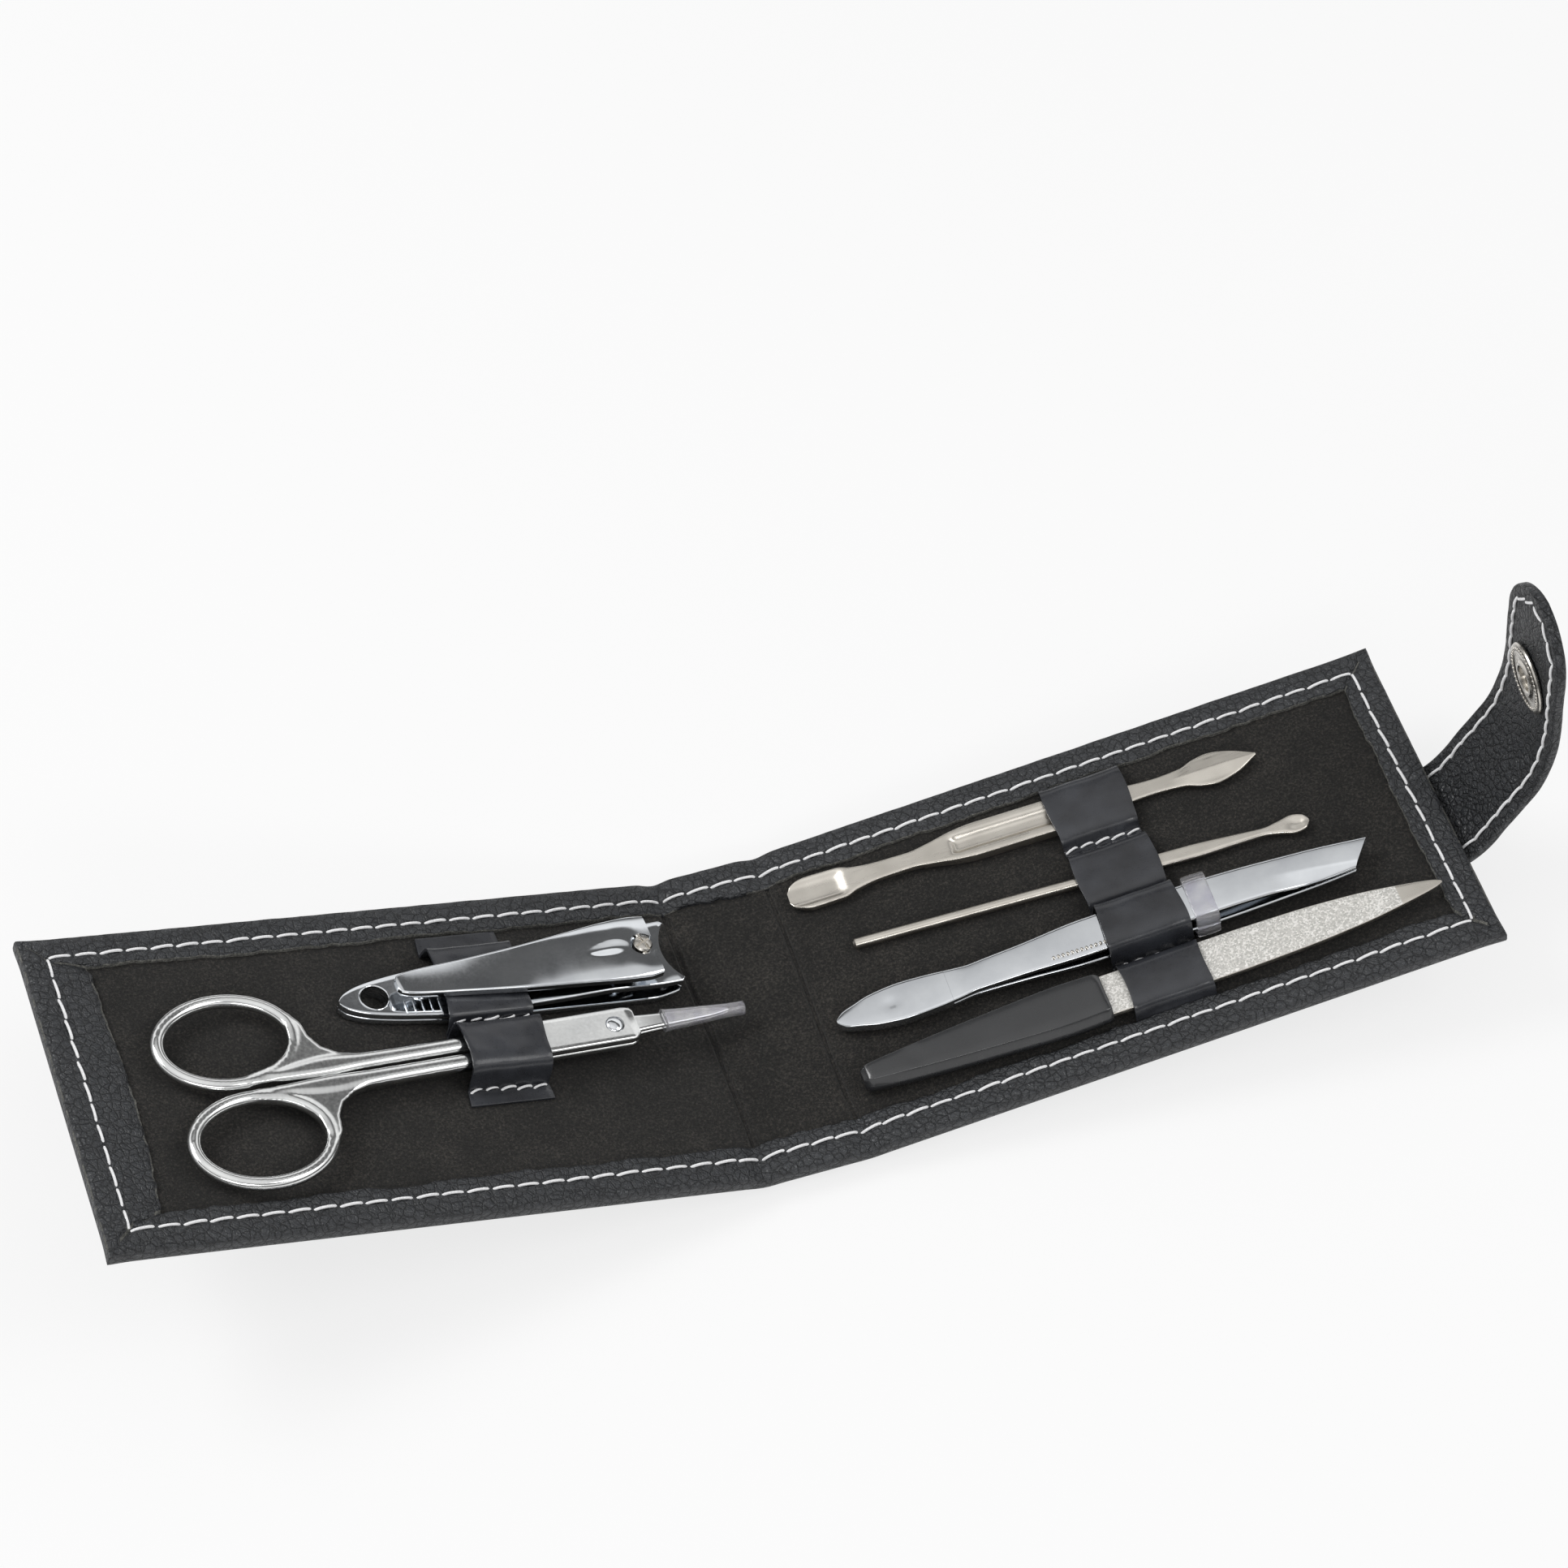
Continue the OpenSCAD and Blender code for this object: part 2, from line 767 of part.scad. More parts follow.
// Lever with an open slot round the pin, and a knuckle on the cross bar at each side of the slot
module clipper_lever() {
    slot_half = pin_head_r + 0.2;
    low = lever_axis_z - lever_t / 2;
    half = clipper_w / 2;
    color(chrome_colour)
        clipper_frame()
            difference() {
                union() {
                    cut_sheet(
                        both_sides([[lever_tail_x, 1.3], [lever_tail_x + 0.5, 1.8], [lever_tail_x + 2.4, 2.2],
                            [lever_tail_x + 19, 4], [pin_x - 4.5, half - 0.2], [pin_x - 0.5, half],
                            [lever_front_x, half - 0.3]]),
                        sheet([[lever_tail_x, strip_over_leaf + strip_t + 0.25],
                            [lever_tail_x + 18.5, strip_over_leaf + strip_t + 0.25],
                            [pin_x - 4.5, low], [lever_front_x, low]], lever_t),
                        clipper_w + 2);
                    translate([pin_x, half - 0.6, lever_axis_z])
                        rotate([90, 0, 0])
                            cylinder(r = bar_r + 0.6, h = clipper_w - 1.2);
                }
                translate([pin_x - 2.3, -slot_half, 0])
                    cube([10, 2 * slot_half, 20]);
                translate([pin_x, bar_half + 0.2, lever_axis_z])
                    rotate([90, 0, 0])
                        cylinder(r = bar_r + run_fit, h = 2 * bar_half + 0.4);
            }
}

// The tweezers lie on the tool panel with their joined end at the crease, one arm above the other
tweezers_s = 2.5;
tweezers_turn = -1.5;
tweezers_seat = 1.05;
arm_split = 18;
arm_high = 5.2;
tip_z = 2.9;
tip_slant = 3.4;
band_x = 57;
tweezers_top = arm_high;

module tweezers_frame() {
    on_panel(tweezers_s, tweezers_b, tweezers_turn)
        children();
}

// Plan of the tweezers: a spade at the joined end, and slanted tips
module tweezers_plan() {
    half = tweezers_w / 2;
    difference() {
        polygon(both_sides([[0, 0.5], [1.4, 1.5], [6, 2.9], [11, half], [16, half - 0.3], [22, half - 1],
            [30, half - 0.6], [40, half], [56, half - 0.1], [tweezers_len - 10, half - 0.5],
            [tweezers_len, half - 1.1]]));
        polygon([[tweezers_len - tip_slant - 0.5, -half], [tweezers_len + 1, half],
            [tweezers_len + 1, -half]]);
    }
}

module arm(side) {
    intersection() {
        side_plate(side, tweezers_w + 2);
        linear_extrude(20)
            tweezers_plan();
    }
}

module tweezers_lower_arm() {
    low = tweezers_seat;
    color(chrome_colour)
        tweezers_frame() {
            arm(sheet([[0, low + 0.05], [arm_split + 4, low + 0.05], [arm_split + 12, low], [60, low],
                [tweezers_len, tip_z - arm_t]], arm_t));
            arm([[0, low + 0.05], [arm_split, low + 0.05], [arm_split, low + 0.05 + 2 * arm_t],
                [0, low + 0.05 + 1.6 * arm_t]]);
        }
}

// The upper arm rises from the joint to the ring's place and comes down to the tips
module tweezers_upper_arm() {
    start = arm_split + seat_gap;
    highest = arm_high - arm_t;
    color(chrome_colour)
        tweezers_frame()
            arm(sheet([[start, tweezers_seat + arm_t + 0.15], [start + 6, highest - 1.9],
                [start + 22, highest - 0.65],
                [band_x - 6, highest - 0.35], [band_x + 2, highest], [band_x + band_len + 1, highest],
                [tweezers_len, tip_z + 0.1]], arm_t));
}

// Clear ring that holds the arms together
module tweezers_band() {
    inner_half = tweezers_w / 2 + 0.15;
    low = tweezers_seat - 0.12;
    high = arm_high + 0.12;
    color(clear_colour)
        tweezers_frame()
            translate([band_x, 0, 0])
                difference() {
                    translate([0, -inner_half - band_wall, low - band_wall + 0.1])
                        cube([band_len, 2 * (inner_half + band_wall), high - low + 2 * band_wall - 0.1]);
                    translate([-1, -inner_half, low])
                        cube([band_len + 2, 2 * inner_half, high - low]);
                }
}

// Cuticle pusher: scoop, grooved handle and leaf-shaped blade
pusher_s = 2.8;
pusher_turn = -1.95;
pusher_top = 2.2;

module cuticle_pusher() {
    handle_end = pusher_len - 32.7;
    groove_r = 9;
    groove_start = 26.5;
    color(steel_colour)
        on_panel(pusher_s, pusher_b, pusher_turn)
            difference() {
                cut_sheet(
                    both_sides([[0, 1.3], [1, 2.4], [3.5, 3], [8.6, 2.9], [10.6, 2.2], [14.8, 1.6],
                        [19.9, 1.5], [23.3, 2], [27.5, 2.8], [31, pusher_w / 2], [handle_end, pusher_w / 2],
                        [pusher_len - 24.7, 2], [pusher_len - 16.7, 1.4], [pusher_len - 12.2, 1.7],
                        [pusher_len - 9.7, 2.6], [pusher_len - 7.2, 3],
                        [pusher_len - 3.7, 2.3], [pusher_len, 0.3]]),
                    concat([[0, 1], [4, 0.4], [9, 0.5], [14, 1], [20, 0.4], [handle_end, 0.3]],
                        [[pusher_len - 24, 0.6], [pusher_len - 14, 0.6], [pusher_len, 1]],
                        [[pusher_len, 1.6], [pusher_len - 14, 1.4], [pusher_len - 24, 1.6]],
                        [[handle_end + 3, pusher_top]],
                        [[23, pusher_top], [18, 1.7], [14, 2], [9, 1.5], [4, 1.2], [0, 1.8]]),
                    pusher_w + 1);
                translate([groove_start, 0, pusher_top - 0.9 + groove_r])
                    rotate([0, 90, 0])
                        cylinder(r = groove_r, h = handle_end + 2 - groove_start);
            }
}

// Ear pick: a wire, pressed flat where the strip holds it, with a small round spoon
pick_s = 9.5;
pick_turn = -4.3;
pick_seat = 0.3;
pick_top = pick_seat + pick_d;

module ear_pick() {
    taper = 8;
    flat_from = panel_strip_at - pick_s - taper;
    flat_to = panel_strip_at - pick_s + strip_w + taper;
    spoon_r = 1.8;
    color(steel_colour)
        on_panel(pick_s, pick_b, pick_turn)
            translate([0, 0, pick_seat + pick_d / 2]) {
                rotate([0, 90, 0])
                    cylinder(d = pick_d, h = pick_len - spoon_r - 1.5);
                translate([0, 0, -0.4])
                    linear_extrude(0.8)
                        polygon(both_sides([[flat_from, 0.4], [flat_from + taper, 1.4],
                            [flat_to - taper, 1.4], [flat_to, 0.4]]));
                translate([pick_len - spoon_r, 0, -0.3])
                    cylinder(r = spoon_r, h = 0.7);
            }
}

// Nail file: a grit-faced blade whose tang sits in a bevelled plastic handle
file_s = 2.8;
file_handle_h = 3.9;
file_seat = 0.35;
file_top = file_seat + file_handle_h / 2 + file_blade_t / 2;
tang_len = 12;

module file_frame() {
    on_panel(file_s, file_b, 0)
        translate([0, 0, file_seat + file_handle_h / 2])
            children();
}

module file_blade_plan(extra) {
    half = file_blade_w / 2 + extra;
    polygon(both_sides([[file_handle_len - tang_len - extra, 2 + extra], [file_handle_len - 1, 2 + extra],
        [file_handle_len, half], [58, half], [file_len - 24, half - 0.3], [file_len - 14, half - 0.9],
        [file_len - 5, 1.5], [file_len - 1, 0.6], [file_len, 0.2]]));
}

module file_blade() {
    color(steel_colour)
        file_frame()
            translate([0, 0, -file_blade_t / 2])
                linear_extrude(file_blade_t)
                    file_blade_plan(0);
}

// Plan of the handle, drawn in by a margin for its bevels
module handle_layer(margin, z) {
    half = file_handle_w / 2 - margin;
    translate([0, 0, z])
        linear_extrude(thin)
            polygon(both_sides([[margin, 1.5 - margin * 0.4], [1 + margin, 2 - margin * 0.5],
                [6, 2.7 - margin * 0.6],
                [24, half - 0.4], [33, half], [file_handle_len, half - 0.3]]));
}

module file_handle() {
    h = file_handle_h;
    color("#17181a")
        file_frame()
            difference() {
                hull() {
                    handle_layer(0.5, -h / 2);
                    handle_layer(0, -h / 5);
                    handle_layer(0, h / 8);
                    handle_layer(1.3, h / 2 - thin);
                }
                translate([0, 0, -file_blade_t / 2 - run_fit])
                    linear_extrude(file_blade_t + 2 * run_fit)
                        file_blade_plan(run_fit);
            }
}

spine_cover();
spine_board();
spine_lining();
lid_crease();
panel_crease();
lid_cover();
lid_board();
lid_lining();
lid_strip();
snap_stud();
stud_washer();
panel_cover();
panel_board();
panel_lining();
panel_strip();
strap_root();
strap_riser();
strap_bend();
strap_end();
snap_cap();
snap_socket();
scissors_near_half();
scissors_far_half();
scissors_screw();
scissors_sheath();
clipper_lower_leaf();
clipper_upper_leaf();
clipper_tail_rivet();
clipper_pin();
clipper_lever();
tweezers_lower_arm();
tweezers_upper_arm();
tweezers_band();
cuticle_pusher();
ear_pick();
file_blade();
file_handle();
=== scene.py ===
# Folding manicure case with its tools: black leathercloth, suede, chrome and satin nickel
import math
import bmesh
import bpy
from mathutils import Matrix, Vector, noise


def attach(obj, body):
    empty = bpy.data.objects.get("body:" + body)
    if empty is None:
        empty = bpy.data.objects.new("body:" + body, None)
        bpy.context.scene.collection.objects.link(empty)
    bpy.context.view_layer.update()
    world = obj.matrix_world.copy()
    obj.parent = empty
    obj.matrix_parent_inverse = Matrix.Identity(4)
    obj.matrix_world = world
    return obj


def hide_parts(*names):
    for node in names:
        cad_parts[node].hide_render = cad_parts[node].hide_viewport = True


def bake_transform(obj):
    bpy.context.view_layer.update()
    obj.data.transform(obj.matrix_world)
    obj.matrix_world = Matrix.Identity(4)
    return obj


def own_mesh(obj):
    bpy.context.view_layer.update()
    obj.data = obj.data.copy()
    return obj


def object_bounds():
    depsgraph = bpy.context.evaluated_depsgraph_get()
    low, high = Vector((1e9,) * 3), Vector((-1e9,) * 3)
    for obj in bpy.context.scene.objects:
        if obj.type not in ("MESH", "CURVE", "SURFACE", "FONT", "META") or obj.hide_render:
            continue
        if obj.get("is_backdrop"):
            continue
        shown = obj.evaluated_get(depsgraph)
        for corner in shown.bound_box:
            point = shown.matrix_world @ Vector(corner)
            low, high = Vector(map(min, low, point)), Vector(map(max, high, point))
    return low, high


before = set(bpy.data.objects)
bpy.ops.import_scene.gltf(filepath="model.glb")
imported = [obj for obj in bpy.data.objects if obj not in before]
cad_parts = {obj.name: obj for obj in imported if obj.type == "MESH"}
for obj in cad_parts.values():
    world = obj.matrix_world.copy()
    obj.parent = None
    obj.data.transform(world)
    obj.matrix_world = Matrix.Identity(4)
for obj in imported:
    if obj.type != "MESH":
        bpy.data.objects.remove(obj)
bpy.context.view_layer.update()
mm = 0.001
scene = bpy.context.scene

# camera at the photo's viewing angle, worked out from the case's corners in the picture
camera = {"tilt": 53.1, "turn": 18.08, "away": 874.2, "across": -30.7, "up": 287.9, "lens": 130.43,
        "focal": 7000}


def turned(degrees, axis):
    return Matrix.Rotation(math.radians(degrees), 4, axis)


def moved(x, y, z):
    return Matrix.Translation((x, y, z))


def addObject(name, data):
    made = bpy.data.objects.new(name, data)
    scene.collection.objects.link(made)
    return made


def addCamera():
    tilt = math.radians(camera["tilt"])
    forward = Vector((0, math.cos(tilt), -math.sin(tilt)))
    up = Vector((0, math.sin(tilt), math.cos(tilt)))
    right = Vector((1, 0, 0))
    middle = camera["away"] * (forward + right * camera["across"] / camera["focal"] - up
            * camera["up"] / camera["focal"])
    spin = turned(-camera["turn"], "Z").to_3x3()
    place = Matrix.Identity(4)
    for column, axis in enumerate((right, up, -forward)):
        for row, value in enumerate(spin @ axis):
            place[row][column] = value
    place.translation = (spin @ -middle + Vector((0, 0, 2))) * mm
    data = bpy.data.cameras.new("camera")
    data.lens = camera["lens"]
    data.sensor_width = 36
    data.clip_start = 0.01
    made = addObject("camera", data)
    made.matrix_world = place
    scene.camera = made


addCamera()
print("camera set")

# where things are, in mm, as the case lies open
case = {"creaseX": 8.5, "creaseZ": 0.4, "lidOpen": 15.5, "panelOpen": 7, "end": 103.0, "half": 29.0,
        "liningZ": 2.4, "creaseFrom": 5.3, "creaseTo": 11.7}
lidFrame = moved(-case["creaseX"], 0, case["creaseZ"]) @ turned(case["lidOpen"], "Y") @ moved(0, 0,
        -case["creaseZ"])
panelFrame = moved(case["creaseX"], 0, case["creaseZ"]) @ turned(-case["panelOpen"], "Y") @ moved(0, 0,
        -case["creaseZ"])


def onLid(s, b, turn=0, lift=0):
    return lidFrame @ moved(-s, b, case["liningZ"] + lift) @ turned(turn, "Z")


def onPanel(s, b, turn=0, lift=0):
    return panelFrame @ moved(s, b, case["liningZ"] + lift) @ turned(turn, "Z")


def leafOf(side):
    return lidFrame if side < 0 else panelFrame


def srgb(code, alpha=1.0):
    # hex colour as it looks on a screen, to the linear values that nodes take
    parts = [int(code[i:i + 2], 16) / 255 for i in (1, 3, 5)]
    return tuple(p / 12.92 if p <= 0.04045 else ((p + 0.055) / 1.055) ** 2.4 for p in parts) + (alpha,)


def addNode(tree, kind, inputs=None, **settings):
    made = tree.nodes.new(kind)
    for name, value in settings.items():
        setattr(made, name, value)
    for name, value in (inputs or {}).items():
        if isinstance(value, bpy.types.NodeSocket):
            tree.links.new(value, made.inputs[name])
        else:
            made.inputs[name].default_value = value
    return made


def newMaterial(name, **shader):
    # a Principled surface with its fixed values on its own sockets, and Object coordinates for its patterns
    made = bpy.data.materials.new(name)
    made.use_nodes = True
    tree = made.node_tree
    tree.nodes.clear()
    surface = addNode(tree, "ShaderNodeBsdfPrincipled", shader)
    addNode(tree, "ShaderNodeOutputMaterial", {"Surface": surface.outputs[0]})
    where = addNode(tree, "ShaderNodeTexCoord").outputs["Object"]
    return made, tree, surface, where


def rampOf(tree, factor, stops):
    # colours or greys at places along a factor
    made = addNode(tree, "ShaderNodeValToRGB", {0: factor})
    elements = made.color_ramp.elements
    while len(elements) < len(stops):
        elements.new(0.5)
    for element, (place, colour) in zip(elements, stops):
        element.position = place
        element.color = srgb(colour) if isinstance(colour, str) else (colour, colour, colour, 1)
    return made.outputs[0]


def coat(tree, surface, colour, roughness, bump):
    # colour, roughness and relief go to a surface's own sockets
    tree.links.new(colour, surface.inputs["Base Color"])
    tree.links.new(roughness, surface.inputs["Roughness"])
    tree.links.new(addNode(tree, "ShaderNodeBump", bump).outputs[0], surface.inputs["Normal"])


def perMm(size):
    # a texture's scale for features of this size in mm, with coordinates in metres
    return 1000.0 / size


def clouds(where, size, detail, rough=0.5):
    # the settings of a noise with features of this size in mm
    return {"Vector": where, "Scale": perMm(size), "Detail": detail, "Roughness": rough}


def makeCloudy(name, shader, tint, tintStops, wear, wearStops, strength, distance):
    # tint and wear are the clouds behind the colour and the gloss; the first also raise the surface
    made, tree, surface, where = newMaterial(name, **shader)
    shown, worn = (addNode(tree, "ShaderNodeTexNoise", clouds(where, *kind)).outputs[0]
            for kind in (tint, wear))
    coat(tree, surface, rampOf(tree, shown, tintStops), rampOf(tree, worn, wearStops),
            {"Strength": strength, "Distance": distance, "Height": shown})
    return made


# Embossed leathercloth: coated fabric rolled with a pebbled grain, dark grey-black with a soft gloss; its
# deep colour is painted shade in the crevices between the pebbles, its high colour the lighter pebble tops
leatherLook = {"pebble": 1.35, "fine": 0.6, "warp": 2.6, "deep": "#131416", "high": "#35373a"}


def makeLeather(name, gloss, depth):
    made, tree, surface, where = newMaterial(name, **{"Specular IOR Level": 0.5})
    warp = addNode(tree, "ShaderNodeTexNoise", clouds(where, leatherLook["warp"], 2))
    shift = addNode(tree, "ShaderNodeVectorMath", {0: warp.outputs["Color"], 1: (0.5, 0.5, 0.5)},
            operation="SUBTRACT")
    push = addNode(tree, "ShaderNodeVectorMath", {0: shift.outputs[0], "Scale": 0.0009}, operation="SCALE")
    bent = addNode(tree, "ShaderNodeVectorMath", {0: where, 1: push.outputs[0]}, operation="ADD").outputs[0]
    pebbles = addNode(tree, "ShaderNodeTexVoronoi", {"Vector": bent, "Scale": perMm(leatherLook["pebble"])},
            feature="DISTANCE_TO_EDGE")
    wrinkles = addNode(tree, "ShaderNodeTexVoronoi", {"Vector": bent, "Scale": perMm(leatherLook["fine"])},
            feature="DISTANCE_TO_EDGE")
    big = rampOf(tree, pebbles.outputs["Distance"], [(0.0, 0.0), (0.1, 0.7), (0.4, 1.0)])
    small = rampOf(tree, wrinkles.outputs["Distance"], [(0.0, 0.0), (0.2, 1.0)])
    little = addNode(tree, "ShaderNodeMath", {0: small, 1: 0.28}, operation="MULTIPLY").outputs[0]
    grain = addNode(tree, "ShaderNodeMath", {0: big, 1: 0.72, 2: little}, operation="MULTIPLY_ADD")
    uneven = addNode(tree, "ShaderNodeTexNoise", clouds(where, 9, 3))
    # painted shade: the grain's crevices are coloured darker and the pebble tops lighter, mixed a quarter
    # with random tone clouds
    creviceShadeAndTone = addNode(tree, "ShaderNodeMix", {0: 0.25, 2: grain.outputs[0], 3: uneven.outputs[0]})
    # soft buckles from turning and folding lie under the grain
    buckles = addNode(tree, "ShaderNodeTexNoise", {**clouds(where, 3.2, 3), "Distortion": 0.8})
    under = addNode(tree, "ShaderNodeBump", {"Strength": 0.45, "Distance": 0.0007,
            "Height": buckles.outputs[0]})
    # colour from deep in the crevices to high on the pebble tops is painted shade between the pebbles
    coat(tree, surface, rampOf(tree, creviceShadeAndTone.outputs[0],
            [(0.1, leatherLook["deep"]), (0.9, leatherLook["high"])]),
            rampOf(tree, creviceShadeAndTone.outputs[0], [(0.0, gloss + 0.2), (1.0, gloss - 0.06)]),
            {"Strength": depth, "Distance": 0.0004, "Height": grain.outputs[0], "Normal": under.outputs[0]})
    return made


# Suede-faced lining cloth: brown-black nap with brushed patches, no gloss
def makeSuede():
    made, tree, surface, where = newMaterial("suede_lining",
            **{"Specular IOR Level": 0.15, "Sheen Weight": 0.12, "Sheen Roughness": 0.6})
    nap = addNode(tree, "ShaderNodeTexNoise", clouds(where, 0.42, 6, 0.85)).outputs[0]
    brushed = addNode(tree, "ShaderNodeTexNoise", clouds(where, 7, 4)).outputs[0]
    both = addNode(tree, "ShaderNodeMix", {0: 0.13, 2: nap, 3: brushed}).outputs[0]
    coat(tree, surface, rampOf(tree, both, [(0.34, "#080807"), (0.5, "#1a1917"), (0.64, "#48443f")]),
            rampOf(tree, nap, [(0.2, 1.0), (0.8, 0.88)]),
            {"Strength": 0.9, "Distance": 0.00025, "Height": nap})
    return made


# Metals: chrome plate is bluish and mirror-like, satin nickel and brushed steel are warmer and blurred
def makeMetal(name, dark, light, rough, streak, spread, relief):
    made, tree, surface, where = newMaterial(name, **{"Metallic": 1.0})
    stretched = addNode(tree, "ShaderNodeMapping", {"Vector": where, "Scale": streak}).outputs[0]
    lines = addNode(tree, "ShaderNodeTexNoise", clouds(stretched, 0.5, 4)).outputs[0]
    patches = addNode(tree, "ShaderNodeTexNoise", clouds(where, 6, 3)).outputs[0]
    coat(tree, surface, rampOf(tree, patches, [(0.3, dark), (0.7, light)]),
            rampOf(tree, lines, [(0.25, max(rough - spread, 0.02)), (0.75, rough + spread)]),
            {"Strength": relief, "Distance": 0.0001, "Height": lines})
    return made


# Diamond-coated steel: grit in plating, drawn at 0.24 mm (really about 0.1) so that it sparkles
def makeGrit():
    made, tree, surface, where = newMaterial("diamond_grit_steel", **{"Metallic": 0.6})
    grains = addNode(tree, "ShaderNodeTexVoronoi", {"Vector": where, "Scale": perMm(0.24)})
    level = addNode(tree, "ShaderNodeSeparateColor", {0: grains.outputs["Color"]}).outputs[0]
    coat(tree, surface, rampOf(tree, level, [(0.0, "#bcbbb6"), (0.55, "#d6d4cf"), (0.95, "#fbf9f5")]),
            rampOf(tree, level, [(0.0, 0.62), (1.0, 0.38)]),
            {"Strength": 0.4, "Distance": 0.00012, "Height": level})
    return made


leather = makeLeather("pebbled_leathercloth", 0.42, 0.7)
strapLeather = makeLeather("pebbled_strap_leathercloth", 0.38, 1.0)
suede = makeSuede()
# coating and grey backing fibres at the cut edge, paler, ragged and dull
backing = (0.35, 6, 0.7)
cutEdge = makeCloudy("leathercloth_cut_edge", {}, backing,
        [(0.3, "#2c2d2e"), (0.5, "#565652"), (0.72, "#8d8b85")], backing, [(0.2, 0.9), (0.8, 0.75)], 0.8,
        0.0002)
# smooth black sheet with slow waves that break up its highlights
vinyl = makeCloudy("glossy_vinyl", {"Coat Weight": 0.25, "Coat Roughness": 0.12}, (5, 2),
        [(0.3, "#1f2024"), (0.7, "#313338")], (0.6, 5), [(0.3, 0.24), (0.7, 0.38)], 0.35, 0.0006)
chrome = makeMetal("polished_chrome_plate", "#d3d6da", "#e4e7ea", 0.08, (1, 1, 1), 0.02, 0.006)
satinSteel = makeMetal("brushed_stainless_steel", "#c6c1b8", "#d9d4cb", 0.3, (0.12, 1, 1), 0.06, 0.03)
satinChrome = makeMetal("satin_chrome_plate", "#dcdddd", "#ecedec", 0.15, (1, 1, 1), 0.04, 0.01)
nickel = makeMetal("satin_nickel_plate", "#bfbbb4", "#d3cfc8", 0.26, (1, 1, 1), 0.05, 0.04)
grit = makeGrit()
# twisted polyester, off-white with soft fuzz and plies about 0.3 mm apart
plies = (0.3, 4, 0.6)
thread = makeCloudy("polyester_thread", {"Sheen Weight": 0.3, "Specular IOR Level": 0.3}, plies,
        [(0.25, "#d4d4d7"), (0.5, "#f4f4f5"), (0.75, "#ffffff")], plies, [(0.2, 0.9), (0.8, 0.7)], 0.6,
        0.00012)
# injection-moulded polystyrene, deep black and glossy, with the faint waviness of a moulding
handlePlastic = makeCloudy("glossy_moulded_plastic", {"Coat Weight": 0.8, "Coat Roughness": 0.1}, (8, 2),
        [(0.3, "#202123"), (0.7, "#28292b")], (1.2, 6), [(0.35, 0.26), (0.7, 0.34)], 0.05, 0.0005)
# clear soft PVC, see-through with a slight haze and a wavy surface
haze = (2.5, 3)
clearBand, clearSheath = (makeCloudy(name, {"Transmission Weight": 0.88, "IOR": 1.45}, haze,
        [(0.3, "#eceaf2"), (0.7, "#ffffff")], haze, [(0.3, rough), (0.7, rough + 0.1)], 0.3, 0.0003) for name,
        rough in (("clear_moulded_ring", 0.1), ("clear_soft_tube", 0.16)))
# grey-brown pulp board, pressed fibres, dull
fibres = (0.8, 6, 0.7)
board = makeCloudy("pulp_board", {}, fibres, [(0.3, "#6b5a45"), (0.7, "#9a8464")], fibres,
        [(0.3, 0.95), (0.7, 0.85)], 0.5, 0.0001)
print("materials made")


def makePiece(name, points, faces, place, material, sharp=40):
    # a mesh from points in mm in its own frame, kept in the row frame in metres
    data = bpy.data.meshes.new(name)
    data.from_pydata([(place @ Vector(p)) * mm for p in points], [], faces)
    made = addObject(name, data)
    data.materials.append(material)
    tidyMesh(made, sharp)
    return made


def shadeSmooth(piece, sharp):
    piece.data.shade_smooth()
    piece.data.set_sharp_from_angle(angle=math.radians(sharp))
    return piece


def tidyMesh(piece, sharp):
    work = bmesh.new()
    work.from_mesh(piece.data)
    bmesh.ops.remove_doubles(work, verts=work.verts, dist=0.01 * mm)
    bmesh.ops.recalc_face_normals(work, faces=work.faces)
    work.to_mesh(piece.data)
    work.free()
    shadeSmooth(piece, sharp)


def settle(piece):
    # what the modifiers make becomes the piece's own mesh
    shown = piece.evaluated_get(bpy.context.evaluated_depsgraph_get())
    made = bpy.data.meshes.new_from_object(shown)
    piece.modifiers.clear()
    piece.data = made
    return piece


def joined(name, pieces):
    # one object with the meshes of several, each with its own materials
    work = bmesh.new()
    materials = []
    for piece in pieces:
        start = len(work.faces)
        work.from_mesh(piece.data)
        work.faces.ensure_lookup_table()
        for face in work.faces[start:]:
            material = piece.data.materials[face.material_index]
            if material not in materials:
                materials.append(material)
            face.material_index = materials.index(material)
    data = bpy.data.meshes.new(name)
    work.to_mesh(data)
    work.free()
    for material in materials:
        data.materials.append(material)
    for piece in pieces:
        bpy.data.objects.remove(piece)
    return addObject(name, data)


def cutFrom(piece, cutters):
    for cutter in cutters:
        cut = piece.modifiers.new("cut", "BOOLEAN")
        cut.operation = "DIFFERENCE"
        cut.solver = "EXACT"
        cut.object = cutter
    settle(piece)
    for cutter in cutters:
        bpy.data.objects.remove(cutter)
    return shadeSmooth(piece, 30)


def fuse(piece, voxel, passes):
    # melts overlapping parts into one skin and softens where they meet
    remesh = piece.modifiers.new("fuse", "REMESH")
    remesh.mode = "VOXEL"
    remesh.voxel_size = voxel * mm
    soften = piece.modifiers.new("soften", "SMOOTH")
    soften.factor = 0.5
    soften.iterations = passes
    return shadeSmooth(settle(piece), 60)


def bevelEdges(piece, width, segments, angle, sharp):
    # width in mm, on every edge sharper than the angle
    bevel = piece.modifiers.new("bevel", "BEVEL")
    bevel.width = width * mm
    bevel.segments = segments
    bevel.limit_method = "ANGLE"
    bevel.angle_limit = math.radians(angle)
    return shadeSmooth(settle(piece), sharp)


